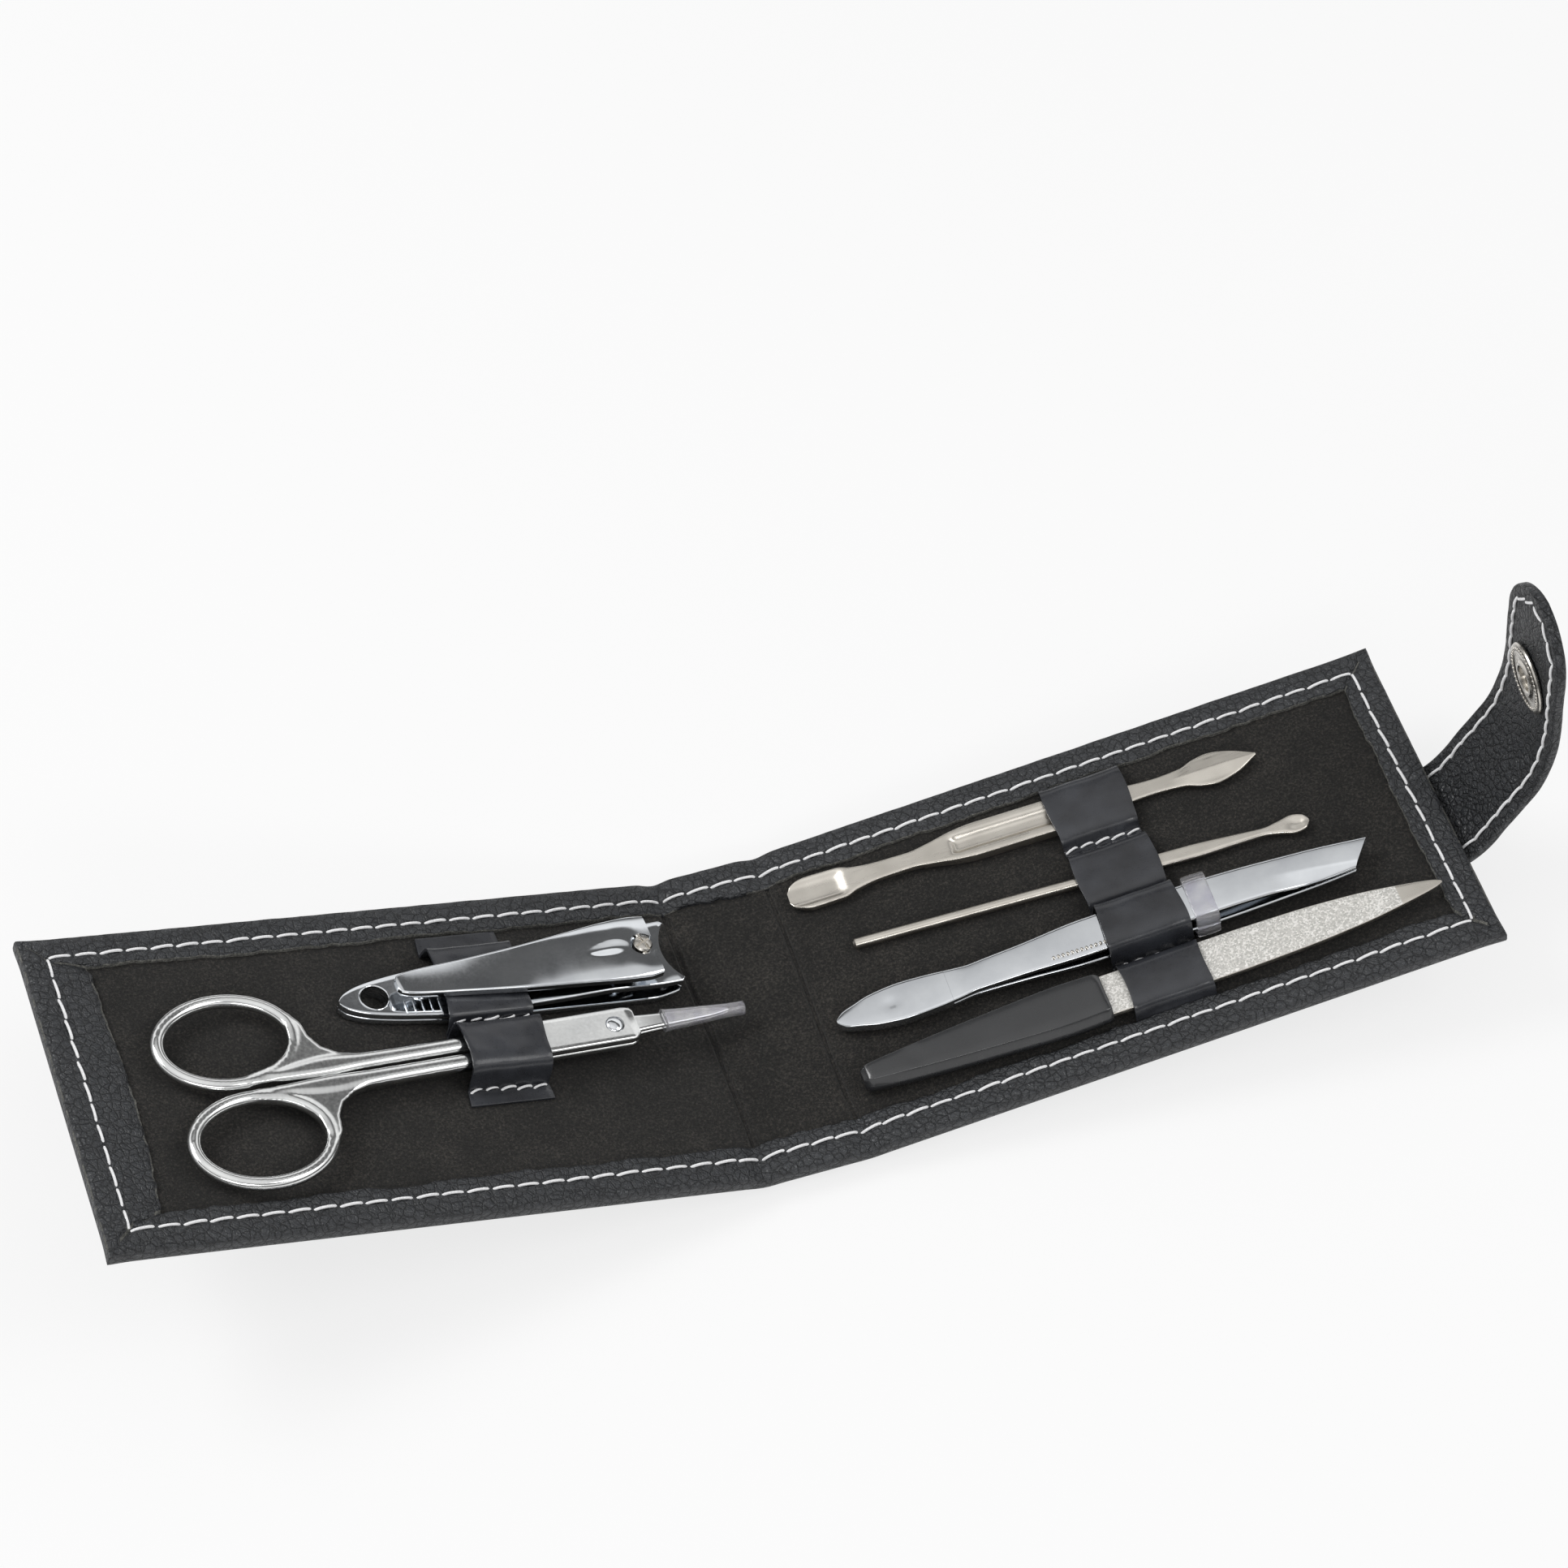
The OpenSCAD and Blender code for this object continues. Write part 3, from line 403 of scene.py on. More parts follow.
def smoothRows(stations, step):
    # rows between the stations on curves that never overshoot them
    places = [s[0] for s in stations]
    columns = list(zip(*stations))[1:]
    slopes = []
    for values in columns:
        rise = [(values[i + 1] - values[i]) / (places[i + 1] - places[i]) for i in range(len(places) - 1)]
        inner = [0 if rise[i - 1] * rise[i] <= 0 else 2 * rise[i - 1] * rise[i] / (rise[i - 1] + rise[i])
                for i in range(1, len(rise))]
        slopes.append([rise[0]] + inner + [rise[-1]])
    rows = []
    for i in range(len(places) - 1):
        long = places[i + 1] - places[i]
        count = max(1, round(long / step))
        for k in range(count + (i == len(places) - 2)):
            t = k / count
            row = [places[i] + long * t]
            for values, slope in zip(columns, slopes):
                row.append((2 * t ** 3 - 3 * t * t + 1) * values[i] + (t ** 3 - 2 * t * t + t) * long
                        * slope[i] + (3 * t * t - 2 * t ** 3) * values[i + 1] + (t ** 3 - t * t) * long
                        * slope[i + 1])
            rows.append(row)
    return rows


def roundedSection(half, low, high, edge, across, crown=0.0):
    # outline of a flat bar's cut face, as (y, z) from its right top edge over to the left and back below
    edge = min(edge, (high - low) * 0.49, half * 0.8)
    reach = half - edge
    points = []
    for sign, corners in ((1, ((-reach, high - edge, 90), (-reach, low + edge, 180))),
            (-1, ((reach, low + edge, 270), (reach, high - edge, 0)))):
        # the flat side's points, then three on each of the two corners after it
        points += [(sign * reach * (1 - 2 * i / (across - 1)), high if sign > 0 else low)
                for i in range(0 if sign > 0 else 1, across)]
        for y, z, start in corners:
            points += [(y + edge * math.cos(math.radians(start + more)),
                    z + edge * math.sin(math.radians(start + more))) for more in (30, 60, 90)]
    points.pop()
    return [(y, z + crown * (1 - (y / half) ** 2) * (z - low) / (high - low)) for y, z in points]


def roundAngles(count):
    return [2 * math.pi * k / count for k in range(count)]


def skin(rings, closed=False):
    # faces between rings of equal count
    size = len(rings[0])
    points = [p for ring in rings for p in ring]
    faces = []
    for i in range(len(rings) - (0 if closed else 1)):
        a, b = i * size, ((i + 1) % len(rings)) * size
        faces += [(a + k, a + (k + 1) % size, b + (k + 1) % size, b + k) for k in range(size)]
    if not closed:
        faces += [tuple(range(size)), tuple(range(len(points) - size, len(points)))]
    return points, faces


def makeBar(name, stations, place, material, edge=0.3, across=9, crown=0.0, step=0.6, shape=None, sharp=40):
    # a tool's part along x, from stations of (x, y, half width, low, high)
    rings = []
    for x, y, half, low, high in smoothRows(stations, step):
        ring = [(x, y + dy, z) for dy, z in roundedSection(half, low, high, edge, across, crown)]
        rings.append([shape(*p) for p in ring] if shape else ring)
    return makePiece(name, *skin(rings), place, material, sharp)


def makeTube(name, path, radius, place, material, sides=16, closed=False, flat=1.0):
    # a round wire along points, its radius a number or one for each point
    rings = []
    count = len(path)
    path = [Vector(p) for p in path]
    for i, p in enumerate(path):
        before = path[i - 1] if i or closed else p
        after = path[(i + 1) % count] if i < count - 1 or closed else p
        along = (after - before).normalized()
        side = along.cross(Vector((0, 0, 1))).normalized()
        rise = side.cross(along)
        r = radius[i] if isinstance(radius, (list, tuple)) else radius
        rings.append([p + side * r * math.cos(a) + rise * r * flat * math.sin(a) for a in roundAngles(sides)])
    return makePiece(name, *skin(rings, closed), place, material)


def makeTurned(name, outline, place, material, sides=64, sharp=35):
    # a turned piece round z, from (radius, height) down its outside
    rings = [[(r * math.cos(a), r * math.sin(a), z) for a in roundAngles(sides)] for r, z in outline]
    return makePiece(name, *skin(rings), place, material, sharp)


def arcPoints(middle, radius, start, end, count):
    return [(middle[0] + radius * math.cos(math.radians(start + (end - start) * i / count)),
            middle[1] + radius * math.sin(math.radians(start + (end - start) * i / count)))
            for i in range(count + 1)]


def cylinderAt(x, y, low, high, radius, place):
    return makeTurned("cutter", [(radius, high), (radius, low)], place @ moved(x, y, 0), chrome, 48)


def prism(outline, low, high, place, material=None):
    count = len(outline)
    points = [(x, y, low) for x, y in outline] + [(x, y, high) for x, y in outline]
    faces = [tuple(range(count)), tuple(range(count, 2 * count))]
    faces += [(i, (i + 1) % count, count + (i + 1) % count, count + i) for i in range(count)]
    return makePiece("cutter", points, faces, place, material or chrome)


def give(piece, body, nodes=()):
    # the piece rides on its body and stands for the CAD nodes that it hides
    if body:
        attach(piece, body)
    if nodes:
        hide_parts(*nodes)
    return piece


def newCarrier(name, sockets):
    # a node group whose points each hold one shape, turned along its "along" and "up" directions
    tree = bpy.data.node_groups.new(name, "GeometryNodeTree")
    for label, kind in [("Points", "Geometry")] + sockets + [("Material", "Material")]:
        tree.interface.new_socket(label, in_out="INPUT", socket_type="NodeSocket" + kind)
    tree.interface.new_socket("Laid", in_out="OUTPUT", socket_type="NodeSocketGeometry")
    along, up = (addNode(tree, "GeometryNodeInputNamedAttribute", {"Name": label},
            data_type="FLOAT_VECTOR").outputs[0] for label in ("along", "up"))
    first = addNode(tree, "FunctionNodeAlignRotationToVector", {"Vector": along}, axis="X")
    second = addNode(tree, "FunctionNodeAlignRotationToVector", {"Rotation": first.outputs[0], "Vector": up},
            axis="Z", pivot_axis="X")
    return tree, addNode(tree, "NodeGroupInput").outputs, second.outputs[0]


def endCarrier(tree, given, shape, turn, scale):
    laid = addNode(tree, "GeometryNodeInstanceOnPoints",
            {"Points": given["Points"], "Instance": shape, "Rotation": turn, "Scale": scale})
    real = addNode(tree, "GeometryNodeRealizeInstances", {0: laid.outputs[0]})
    dressed = addNode(tree, "GeometryNodeSetMaterial",
            {"Geometry": real.outputs[0], "Material": given["Material"]})
    addNode(tree, "NodeGroupOutput", {0: dressed.outputs[0]})
    return tree


# Stitches: a bow of thread that dives into the leather at both ends
def makeStitchTree():
    sockets = [(name, "Float") for name in ("Thread Radius", "Stitch Length", "Rise", "Sink", "Slant")]
    tree, given, turn = newCarrier("stitches", sockets + [("Seed", "Int")])
    under = addNode(tree, "ShaderNodeMath", {0: given["Sink"], 1: -1.0}, operation="MULTIPLY").outputs[0]
    ends = {}
    for label, half in (("Start", -0.5), ("End", 0.5)):
        reach = addNode(tree, "ShaderNodeMath", {0: given["Stitch Length"], 1: half},
                operation="MULTIPLY").outputs[0]
        pull = addNode(tree, "ShaderNodeMath", {0: reach, 1: 0.85}, operation="MULTIPLY").outputs[0]
        ends[label] = addNode(tree, "ShaderNodeCombineXYZ", {0: reach, 2: under}).outputs[0]
        ends[label + " Handle"] = addNode(tree, "ShaderNodeCombineXYZ",
                {0: pull, 2: given["Rise"]}).outputs[0]
    bow = addNode(tree, "GeometryNodeCurvePrimitiveBezierSegment", {"Resolution": 7, **ends})
    profile = addNode(tree, "GeometryNodeCurvePrimitiveCircle",
            {"Resolution": 6, "Radius": given["Thread Radius"]})
    # each stitch is pulled thin where it goes down into the leather
    factor = addNode(tree, "GeometryNodeSplineParameter").outputs["Factor"]
    left = addNode(tree, "ShaderNodeMath", {0: 1.0, 1: factor}, operation="SUBTRACT").outputs[0]
    hump = addNode(tree, "ShaderNodeMath", {0: factor, 1: left}, operation="MULTIPLY").outputs[0]
    plump = addNode(tree, "ShaderNodeMath", {0: hump, 1: 2.4, 2: 0.5}, operation="MULTIPLY_ADD").outputs[0]
    oneStitch = addNode(tree, "GeometryNodeCurveToMesh",
            {"Curve": bow.outputs[0], "Profile Curve": profile.outputs[0], "Scale": plump, "Fill Caps": True})
    wobble = addNode(tree, "FunctionNodeRandomValue", {2: -0.06, 3: 0.06, "Seed": given["Seed"]})
    yaw = addNode(tree, "ShaderNodeMath", {0: wobble.outputs[1], 1: given["Slant"]},
            operation="ADD").outputs[0]
    slant = addNode(tree, "ShaderNodeCombineXYZ", {2: yaw}).outputs[0]
    turn = addNode(tree, "FunctionNodeRotateRotation", {"Rotation": turn, "Rotate By": slant},
            rotation_space="LOCAL").outputs[0]
    stretch = addNode(tree, "FunctionNodeRandomValue", {2: 0.93, 3: 1.06, "Seed": given["Seed"]})
    return endCarrier(tree, given, oneStitch.outputs[0], turn, stretch.outputs[1])


# Beads: a small sunk or raised shape at every point, such as the socket's rim and the tweezers' grip dots
def makeBeadTree():
    tree, given, turn = newCarrier("beads", [("Radius", "Float"), ("Stretch", "Vector")])
    bead = addNode(tree, "GeometryNodeMeshUVSphere", {"Segments": 10, "Rings": 6, "Radius": given["Radius"]})
    return endCarrier(tree, given, bead.outputs[0], turn, given["Stretch"])


stitchTree = makeStitchTree()
beadTree = makeBeadTree()


def laidOut(name, tree, spots, values):
    # spots are (point, along, up) in the row frame in mm
    data = bpy.data.meshes.new(name)
    data.from_pydata([Vector(p) * mm for p, _, _ in spots], [], [])
    for label, index in (("along", 1), ("up", 2)):
        attribute = data.attributes.new(label, "FLOAT_VECTOR", "POINT")
        attribute.data.foreach_set("vector", [v for spot in spots for v in spot[index]])
    made = addObject(name, data)
    modifier = made.modifiers.new(name, "NODES")
    modifier.node_group = tree
    for socket in tree.interface.items_tree:
        if socket.in_out == "INPUT" and socket.name in values:
            modifier[socket.identifier] = values[socket.name]
    settle(made)
    made.data.shade_smooth()
    return made


def spotIn(place, point, along):
    # a spot on a surface that faces up in the frame
    spin = place.to_3x3()
    return place @ Vector(point), spin @ Vector(along), spin @ Vector((0, 0, 1))


# thread sizes in metres; the outside stitches bow more and slant, as the machine lays them
threadIn = {"Thread Radius": 0.00048, "Stitch Length": 0.0033, "Rise": 0.0003, "Sink": 0.00022, "Slant": 0.05,
        "Seed": 3, "Material": thread}
threadOut = {"Thread Radius": 0.00047, "Stitch Length": 0.0034, "Rise": 0.00028, "Sink": 0.00020,
        "Slant": 0.2, "Seed": 5, "Material": thread}
pitch = 3.9


def spotsAlong(path, up, gap=pitch):
    # stitch middles at even gaps along a path of points, with their directions
    lengths = [0.0]
    for a, b in zip(path, path[1:]):
        lengths.append(lengths[-1] + (b - a).length)
    count = max(1, round(lengths[-1] / gap))
    spots, k = [], 0
    for i in range(count):
        place = lengths[-1] * (i + 0.5) / count
        while lengths[k + 1] < place:
            k += 1
        t = (place - lengths[k]) / (lengths[k + 1] - lengths[k])
        here = path[k].lerp(path[k + 1], t)
        spots.append((here, (path[k + 1] - path[k]).normalized(), up(here) if callable(up) else up))
    return spots


def gridFaces(rows, columns, base=0):
    # quads between rows of points that follow each other
    return [(a, a + 1, a + columns + 1, a + columns) for i in range(rows)
            for a in range(base + i * columns, base + (i + 1) * columns - 1)]


# Covers and linings. u runs from the middle of the spine outward, b is the depth, side is -1 at the lid
def smoothstep(t):
    t = min(max(t, 0.0), 1.0)
    return t * t * (3 - 2 * t)


def onCase(side, u, b, z):
    leaf = leafOf(side)
    share = smoothstep((u - case["creaseFrom"]) / (case["creaseTo"] - case["creaseFrom"]))
    flat = Vector((side * u, b, z))
    return flat.lerp(leaf @ Vector((side * (u - case["creaseX"]), b, z)), share)


def foldPiece(piece, nodes=()):
    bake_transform(piece)
    give(piece, None, nodes)


cover = {"longHem": 6.2, "lidHem": 9.4, "panelHem": 6.0, "stitchIn": 3.8, "step": 0.55, "hemTop": 3.2,
        "seamDip": 0.16, "firm": 4.7, "tuck": 0.9, "liningLow": 2.02, "threadHigh": 3.12, "threadLow": 0.02,
        "cornerSlack": 0.2, "raggedness": 0.32, "wrinkle": 0.1}


def coverProfile(endHem):
    # (inset at the long edges, inset at the free end, height); insets past the firm part stretch to the hem
    upper = [(0.0, 2.2), (0.1, 2.7), (0.42, 3.06), (1.0, 3.2), (1.9, 3.27), (2.8, 3.22), (3.35, 3.12),
            (cover["stitchIn"], 3.2 - cover["seamDip"]), (4.25, 3.12), (4.7, 3.2), (5.1, 3.24), (5.5, 3.24),
            (5.85, 3.2)]
    lower = [(d, cover["hemTop"] - z) for d, z in upper]
    firm = cover["firm"]
    stretch = (endHem - firm) / (cover["longHem"] - firm)
    both = [(d, z * 0.6 if z < 0.2 else z) for d, z in lower[::-1]] + [(0.0, 1.6)] + upper
    both += [(6.12, 3.12), (6.22, 2.9), (6.2, 2.42), (0.85, 2.42), (0.8, 1.6), (0.85, 0.82), (5.85, 0.8)]
    return [(d, d if d <= firm else firm + (d - firm) * stretch, z) for d, z in both]


def makeCover(side):
    endHem = cover["lidHem"] if side < 0 else cover["panelHem"]
    far = case["creaseX"] + case["end"]
    rows = coverProfile(endHem)
    countLong = round(far / cover["step"])
    countEnd = round(2 * case["half"] / cover["step"])
    # places along the U from the spine's middle round the free end and back
    track = [("near", i / countLong) for i in range(countLong)] + [("end", i / countEnd)
            for i in range(countEnd)]
    track += [("far", 1 - i / countLong) for i in range(countLong + 1)]

    def placeOn(row, where, t):
        d, e, z = row
        half, long = case["half"] - d, far - e
        if where == "end":
            u, b = long, half * (2 * t - 1)
        else:
            u, b = long * t, -half if where == "near" else half
        edge = smoothstep((d - 4.0) / 2.0) * (1 if z > 2 else 0)
        ragged = cover["raggedness"] * edge * noise.noise(Vector((u / 1.7, b / 1.7, side * 3)))
        ragged += 0.5 * edge * noise.noise(Vector((u / 9.0, b / 9.0, side * 5)))
        if where == "end":
            bulge = 0.9 * (1 - (b / half) ** 2) if side < 0 else 0.25 * (1 - (b / half) ** 2)
            u -= ragged + edge * bulge
        else:
            b += (ragged if b < 0 else -ragged) * min(1.0, (long - u) / 4)
        # the folded leather stands out a little at each corner
        ear = cover["cornerSlack"] * max(0.0, 1 - d / 1.6) * math.exp(-((abs(far - u)
                + abs(case["half"] - abs(b))) / 2.4) ** 2)
        return u + ear, b + math.copysign(ear, b), z

    def relief(row, where, u, b, z):
        # soft wrinkles of the turned leather, the fold at each corner and the creases
        d, e, _ = row
        top = 1 if z > 2.6 else 0
        if top:
            wide = 3.2 if where == "end" and side < 0 else 1.0
            z += cover["wrinkle"] * wide * noise.noise(Vector((u / 3.2, b / 2.1, 7 + side)))
            z += 0.03 * noise.noise(Vector((u / 1.2, b / 1.2, 2)))
            corner = abs((far - u - (e - d)) - (case["half"] - abs(b))) / 1.414
            if min(far - u, case["half"] - abs(b)) > 0.4:
                z -= 0.42 * math.exp(-(corner / 0.45) ** 2)
                z += 0.22 * math.exp(-((corner - 1.1) / 0.7) ** 2)
        if z < 0.4:
            z += 0.05 * (1 + noise.noise(Vector((u / 4, b / 4, 11))))
        dent = math.exp(-((u - case["creaseX"]) / 2.0) ** 2)
        if z > 2:
            z -= 0.55 * dent
        elif z < 0.5:
            z += 0.12 * dent
        return z

    points, faces = [], []
    size = len(track)
    for row in rows:
        for where, t in track:
            u, b, z = placeOn(row, where, t)
            points.append(onCase(side, u, b, relief(row, where, u, b, z)))
    faces += gridFaces(len(rows) - 1, size)
    # outer and inner sheet between the two long edges
    for r in (0, len(rows) - 1):
        base = len(points)
        d, e, z = rows[r]
        columns = countEnd + 1
        for i in range(countLong + 1):
            t = i / countLong
            for j in range(columns):
                u, b = (far - e) * t, (case["half"] - d) * (2 * j / countEnd - 1)
                lift = relief(rows[r], "sheet", u, b, z)
                points.append(onCase(side, u, b, lift))
        faces += gridFaces(countLong, columns, base)
    # the end at the middle of the spine is closed, where the other half begins
    made = makePiece("lid_cover_leather" if side < 0 else "panel_cover_leather", points, faces,
            Matrix.Identity(4), leather, 70)
    made.data.materials.append(cutEdge)
    work = bmesh.new()
    work.from_mesh(made.data)
    bmesh.ops.holes_fill(work, edges=[e for e in work.edges if e.is_boundary], sides=0)
    bmesh.ops.recalc_face_normals(work, faces=work.faces)
    inLeaf = leafOf(side).inverted()
    for face in work.faces:
        local = inLeaf @ (face.calc_center_median() / mm)
        if abs(face.normal.z) < 0.75 and abs(local.z - 2.75) < 0.32 and 1.0 < case["half"] - abs(local.y):
            face.material_index = 1
    work.to_mesh(made.data)
    work.free()
    shadeSmooth(made, 60)
    nodes = ("lid_cover", "lid_crease", "spine_cover") if side < 0 else ("panel_cover", "panel_crease",
            "spine_cover")
    foldPiece(made, nodes)


def makeLining(side):
    endHem = cover["lidHem"] if side < 0 else cover["panelHem"]
    far = case["creaseX"] + case["end"] - endHem + cover["tuck"]
    half = case["half"] - cover["longHem"] + cover["tuck"]
    # rows lie closer where the crease is pressed in
    rows = [far * i / round(far / 0.8) for i in range(round(far / 0.8) + 1)]
    rows = sorted([u for u in rows if abs(u - case["creaseX"]) > 1.6]
            + [case["creaseX"] + 0.13 * k for k in range(-11, 12)])
    countU, countB = len(rows) - 1, round(2 * half / 0.7)
    points, faces = [], []
    for level in (0, 1):
        for i in range(countU + 1):
            for j in range(countB + 1):
                u, b = rows[i], half * (2 * j / countB - 1)
                z = cover["liningLow"]
                if level:
                    z = case["liningZ"] + 0.05 * noise.noise(Vector((u / 6, b / 6, 4)))
                    off = abs(u - case["creaseX"] - 0.25 * math.sin(b / 9))
                    z += 0.16 * math.exp(-((off - 0.75) / 0.4) ** 2) - 0.8 * math.exp(-(off / 0.36) ** 2)
                points.append(onCase(side, u, b, z))
    row = countB + 1
    layerSize = (countU + 1) * row
    for level in (0, 1):
        faces += gridFaces(countU, row, level * layerSize)
    rim = [j for j in range(row)] + [i * row + countB for i in range(1, countU + 1)]
    rim += [countU * row + j for j in range(countB - 1, -1, -1)] + [i * row for i in range(countU - 1, 0, -1)]
    faces += [(rim[k], rim[(k + 1) % len(rim)], rim[(k + 1) % len(rim)] + layerSize, rim[k] + layerSize)
            for k in range(len(rim))]
    made = makePiece("lid_suede_lining" if side < 0 else "panel_suede_lining", points, faces,
            Matrix.Identity(4), suede, 60)
    foldPiece(made, ("lid_lining" if side < 0 else "panel_lining", "spine_lining"))


def rimSpots(side, z, up):
    # stitches round the U of a half, on its inside or its outside
    far = case["creaseX"] + case["end"] - cover["stitchIn"]
    half = case["half"] - cover["stitchIn"]
    spots = []
    dent = 0.5 if z > 2 else -0.1
    for a, b in (((0, -half), (far, -half)), ((far, -half), (far, half)), ((far, half), (0, half))):
        flat = [(a[0] + (b[0] - a[0]) * t / 200, a[1] + (b[1] - a[1]) * t / 200) for t in range(201)]
        path = [onCase(side, u, v, z - dent * math.exp(-((u - case["creaseX"]) / 2.0) ** 2)) for u, v in flat]
        rise = (onCase(side, 60, 0, 1) - onCase(side, 60, 0, 0)).normalized() * up
        spots += spotsAlong(path, lambda p, rise=rise: rise if abs(p.x) > 10 else Vector((0, 0, up)))
    return spots


for side, label in ((-1, "lid"), (1, "panel")):
    makeCover(side)
    makeLining(side)
    foldPiece(laidOut(label + "_hem_stitches", stitchTree, rimSpots(side, cover["threadHigh"], 1), threadIn))
    foldPiece(laidOut(label + "_outside_stitches", stitchTree, rimSpots(side, cover["threadLow"], -1),
            threadOut))
for name, material in (("spine_board", board), ("lid_board", board), ("panel_board", board),
        ("stud_washer", nickel)):
    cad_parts[name].data.materials.clear()
    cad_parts[name].data.materials.append(material)
print("covers, linings and their stitches made")

# Strap: a doubled strip on one smooth line from under the tool panel, (x, z) in the panel's frame
strap = {"half": 9.5, "thick": 1.6, "offset": -3.5, "stitchIn": 2.3, "step": 0.45, "stitchGap": 3.3,
        "firstStitch": {"outer": 2.0, "inner": 14.6}, "hinges": [(17.397, -20), (9, -17.4)],
        "line": [(88.4, -0.8), (92, -0.8), (96, -0.8), (100.2, -0.8), (103.1, -0.5), (105.5, 0.9),
        (107.7, 3.2), (109.67, 5.96), (112.5, 9.5), (115.0, 13.0), (116.62, 16.97), (117.75, 21.3),
        (118.3, 25.4), (118.55, 29.6), (118.85, 34.2), (119.25, 38.6), (119.75, 42.6), (120.2, 46.2)],
        "parts": {"strap_root_leather": (0, 7, "tool_panel", "strap_riser", (3, 7)),
        "strap_riser_leather": (7, 10, "strap_riser", "strap_bend", (7, 10)),
        "strap_end_leather": (10, 17, "strap_bend", "strap_end", (10, 12))}}


def curveThrough(points, step):
    # points on a smooth curve through these, with the number of the last one passed
    made = []
    for i in range(len(points) - 1):
        p = [Vector(points[min(max(k, 0), len(points) - 1)]) for k in (i - 1, i, i + 1, i + 2)]
        count = max(2, round((p[2] - p[1]).length / step))
        for k in range(count + (i == len(points) - 2)):
            t = k / count
            made.append((0.5 * (2 * p[1] + (p[2] - p[0]) * t + (2 * p[0] - 5 * p[1] + 4 * p[2] - p[3]) * t * t
                    + (3 * p[1] - p[0] - 3 * p[2] + p[3]) * t ** 3), i + t))
    return made


strapLine = curveThrough(strap["line"], strap["step"])
strapRun = [0.0]
for (a, _), (b, _) in zip(strapLine, strapLine[1:]):
    strapRun.append(strapRun[-1] + (b - a).length)


def strapPoint(i, y, out):
    # a point beside the line: y across, out toward the outer face
    a, b = strapLine[max(i - 1, 0)][0], strapLine[min(i + 1, len(strapLine) - 1)][0]
    along = (b - a).normalized()
    here = strapLine[i][0]
    return panelFrame @ Vector((here.x + along.y * out, strap["offset"] + y, here.y - along.x * out))


def strapHalf(run):
    left = strapRun[-1] - run
    r = strap["half"]
    return r if left >= r else math.sqrt(max(r * r - (r - left) ** 2, 0.0001))


def makeStrapPart(name, first, last):
    rings = []
    for i, (_, mark) in enumerate(strapLine):
        if first - 0.001 <= mark <= last + 0.001:
            half = max(strapHalf(strapRun[i]), 0.25)
            ring = []
            for y, z in roundedSection(half, -strap["thick"] / 2, strap["thick"] / 2, 0.5, 33):
                seam = math.exp(-((half - abs(y) - strap["stitchIn"]) / 0.5) ** 2) * 0.13 * (1 if z > 0
                        else -1)
                z += 0.05 * noise.noise(Vector((strapRun[i] / 3, y / 3, 1 if z > 0 else 5))) - (seam
                        if half > 4 else 0)
                ring.append(strapPoint(i, y, z))
            rings.append(ring)
    made = makePiece(name, *skin(rings), Matrix.Identity(4), strapLeather, 50)
    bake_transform(made)
    give(made, None)
    # stitches along both borders, and round the tip on the last part
    spots = []
    for out in (strap["thick"] / 2 - 0.02, -strap["thick"] / 2 + 0.02):
        marks = [i for i, (_, mark) in enumerate(strapLine) if first - 0.001 <= mark <= last + 0.001]
        if name == "strap_root_leather":
            marks = [i for i in marks if strapRun[i] > strap["firstStitch"]["outer" if out > 0 else "inner"]]
        if name == "strap_end_leather":
            tipRun = strapRun[-1] - strap["half"]
            straight = [i for i in marks if strapRun[i] <= tipRun]
            path = [(i, -strap["half"] + strap["stitchIn"]) for i in straight]
            r = strap["half"] - strap["stitchIn"]
            for k in range(1, 40):
                angle = math.pi * k / 40
                run = tipRun + r * math.sin(angle)
                path.append((min(range(len(strapRun)), key=lambda i: abs(strapRun[i] - run)),
                        -r * math.cos(angle)))
            path += [(i, r) for i in reversed(straight)]
            paths = [path]
        else:
            paths = [[(i, y) for i in marks] for y in (strap["stitchIn"] - strap["half"],
                    strap["half"] - strap["stitchIn"])]
        for path in paths:
            line = [strapPoint(i, y, out) for i, y in path]
            line = [p for k, p in enumerate(line) if not k or (p - line[k - 1]).length > 0.01]

            def away(p, path=path):
                nearest = min(path, key=lambda q: (strapPoint(q[0], q[1], out) - p).length)[0]
                return (strapPoint(nearest, 0, out) - strapPoint(nearest, 0, 0)).normalized()
            spots += spotsAlong(line, away, strap["stitchGap"])
    stitches = laidOut(name.replace("leather", "stitches"), stitchTree, spots, threadIn)
    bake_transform(stitches)
    return made


for name, (first, last, bodyA, bodyB, turnOver) in strap["parts"].items():
    made = makeStrapPart(name, first, last)
    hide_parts({"strap_root_leather": "strap_root", "strap_riser_leather": "strap_riser",
            "strap_end_leather": "strap_end"}[name])
    if name == "strap_riser_leather":
        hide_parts("strap_bend")

# Snap: satin nickel cap outside, socket with a beaded ring inside, stud on the lid
snap = {"at": 7.5, "studAt": 87.65, "beads": 4.85}
endFrame = panelFrame @ moved(104.2, strap["offset"], -0.8) @ turned(-51, "Y")
for length, angle in strap["hinges"]:
    endFrame = endFrame @ moved(length, 0, 0) @ turned(angle, "Y")
snapFrame = endFrame @ moved(snap["at"], 0, 0)
capOutline = [(0.05, -0.8 - 1.7)] + [(5.3 * math.sin(a), -0.8 - 0.55 - 1.15 * math.cos(a) ** 0.8)
        for a in (0.2, 0.4, 0.6, 0.8, 1.0, 1.2, 1.35, 1.5)]
capOutline += [(5.48, -1.2), (5.5, -1.0), (5.4, -0.78), (1.5, -0.7), (1.5, 0.8), (1.0, 0.8), (1.0, 0.0),
        (0.05, 0.0)]
give(makeTurned("snap_cap_nickel", capOutline, snapFrame, nickel), "strap_end", ["snap_cap"])
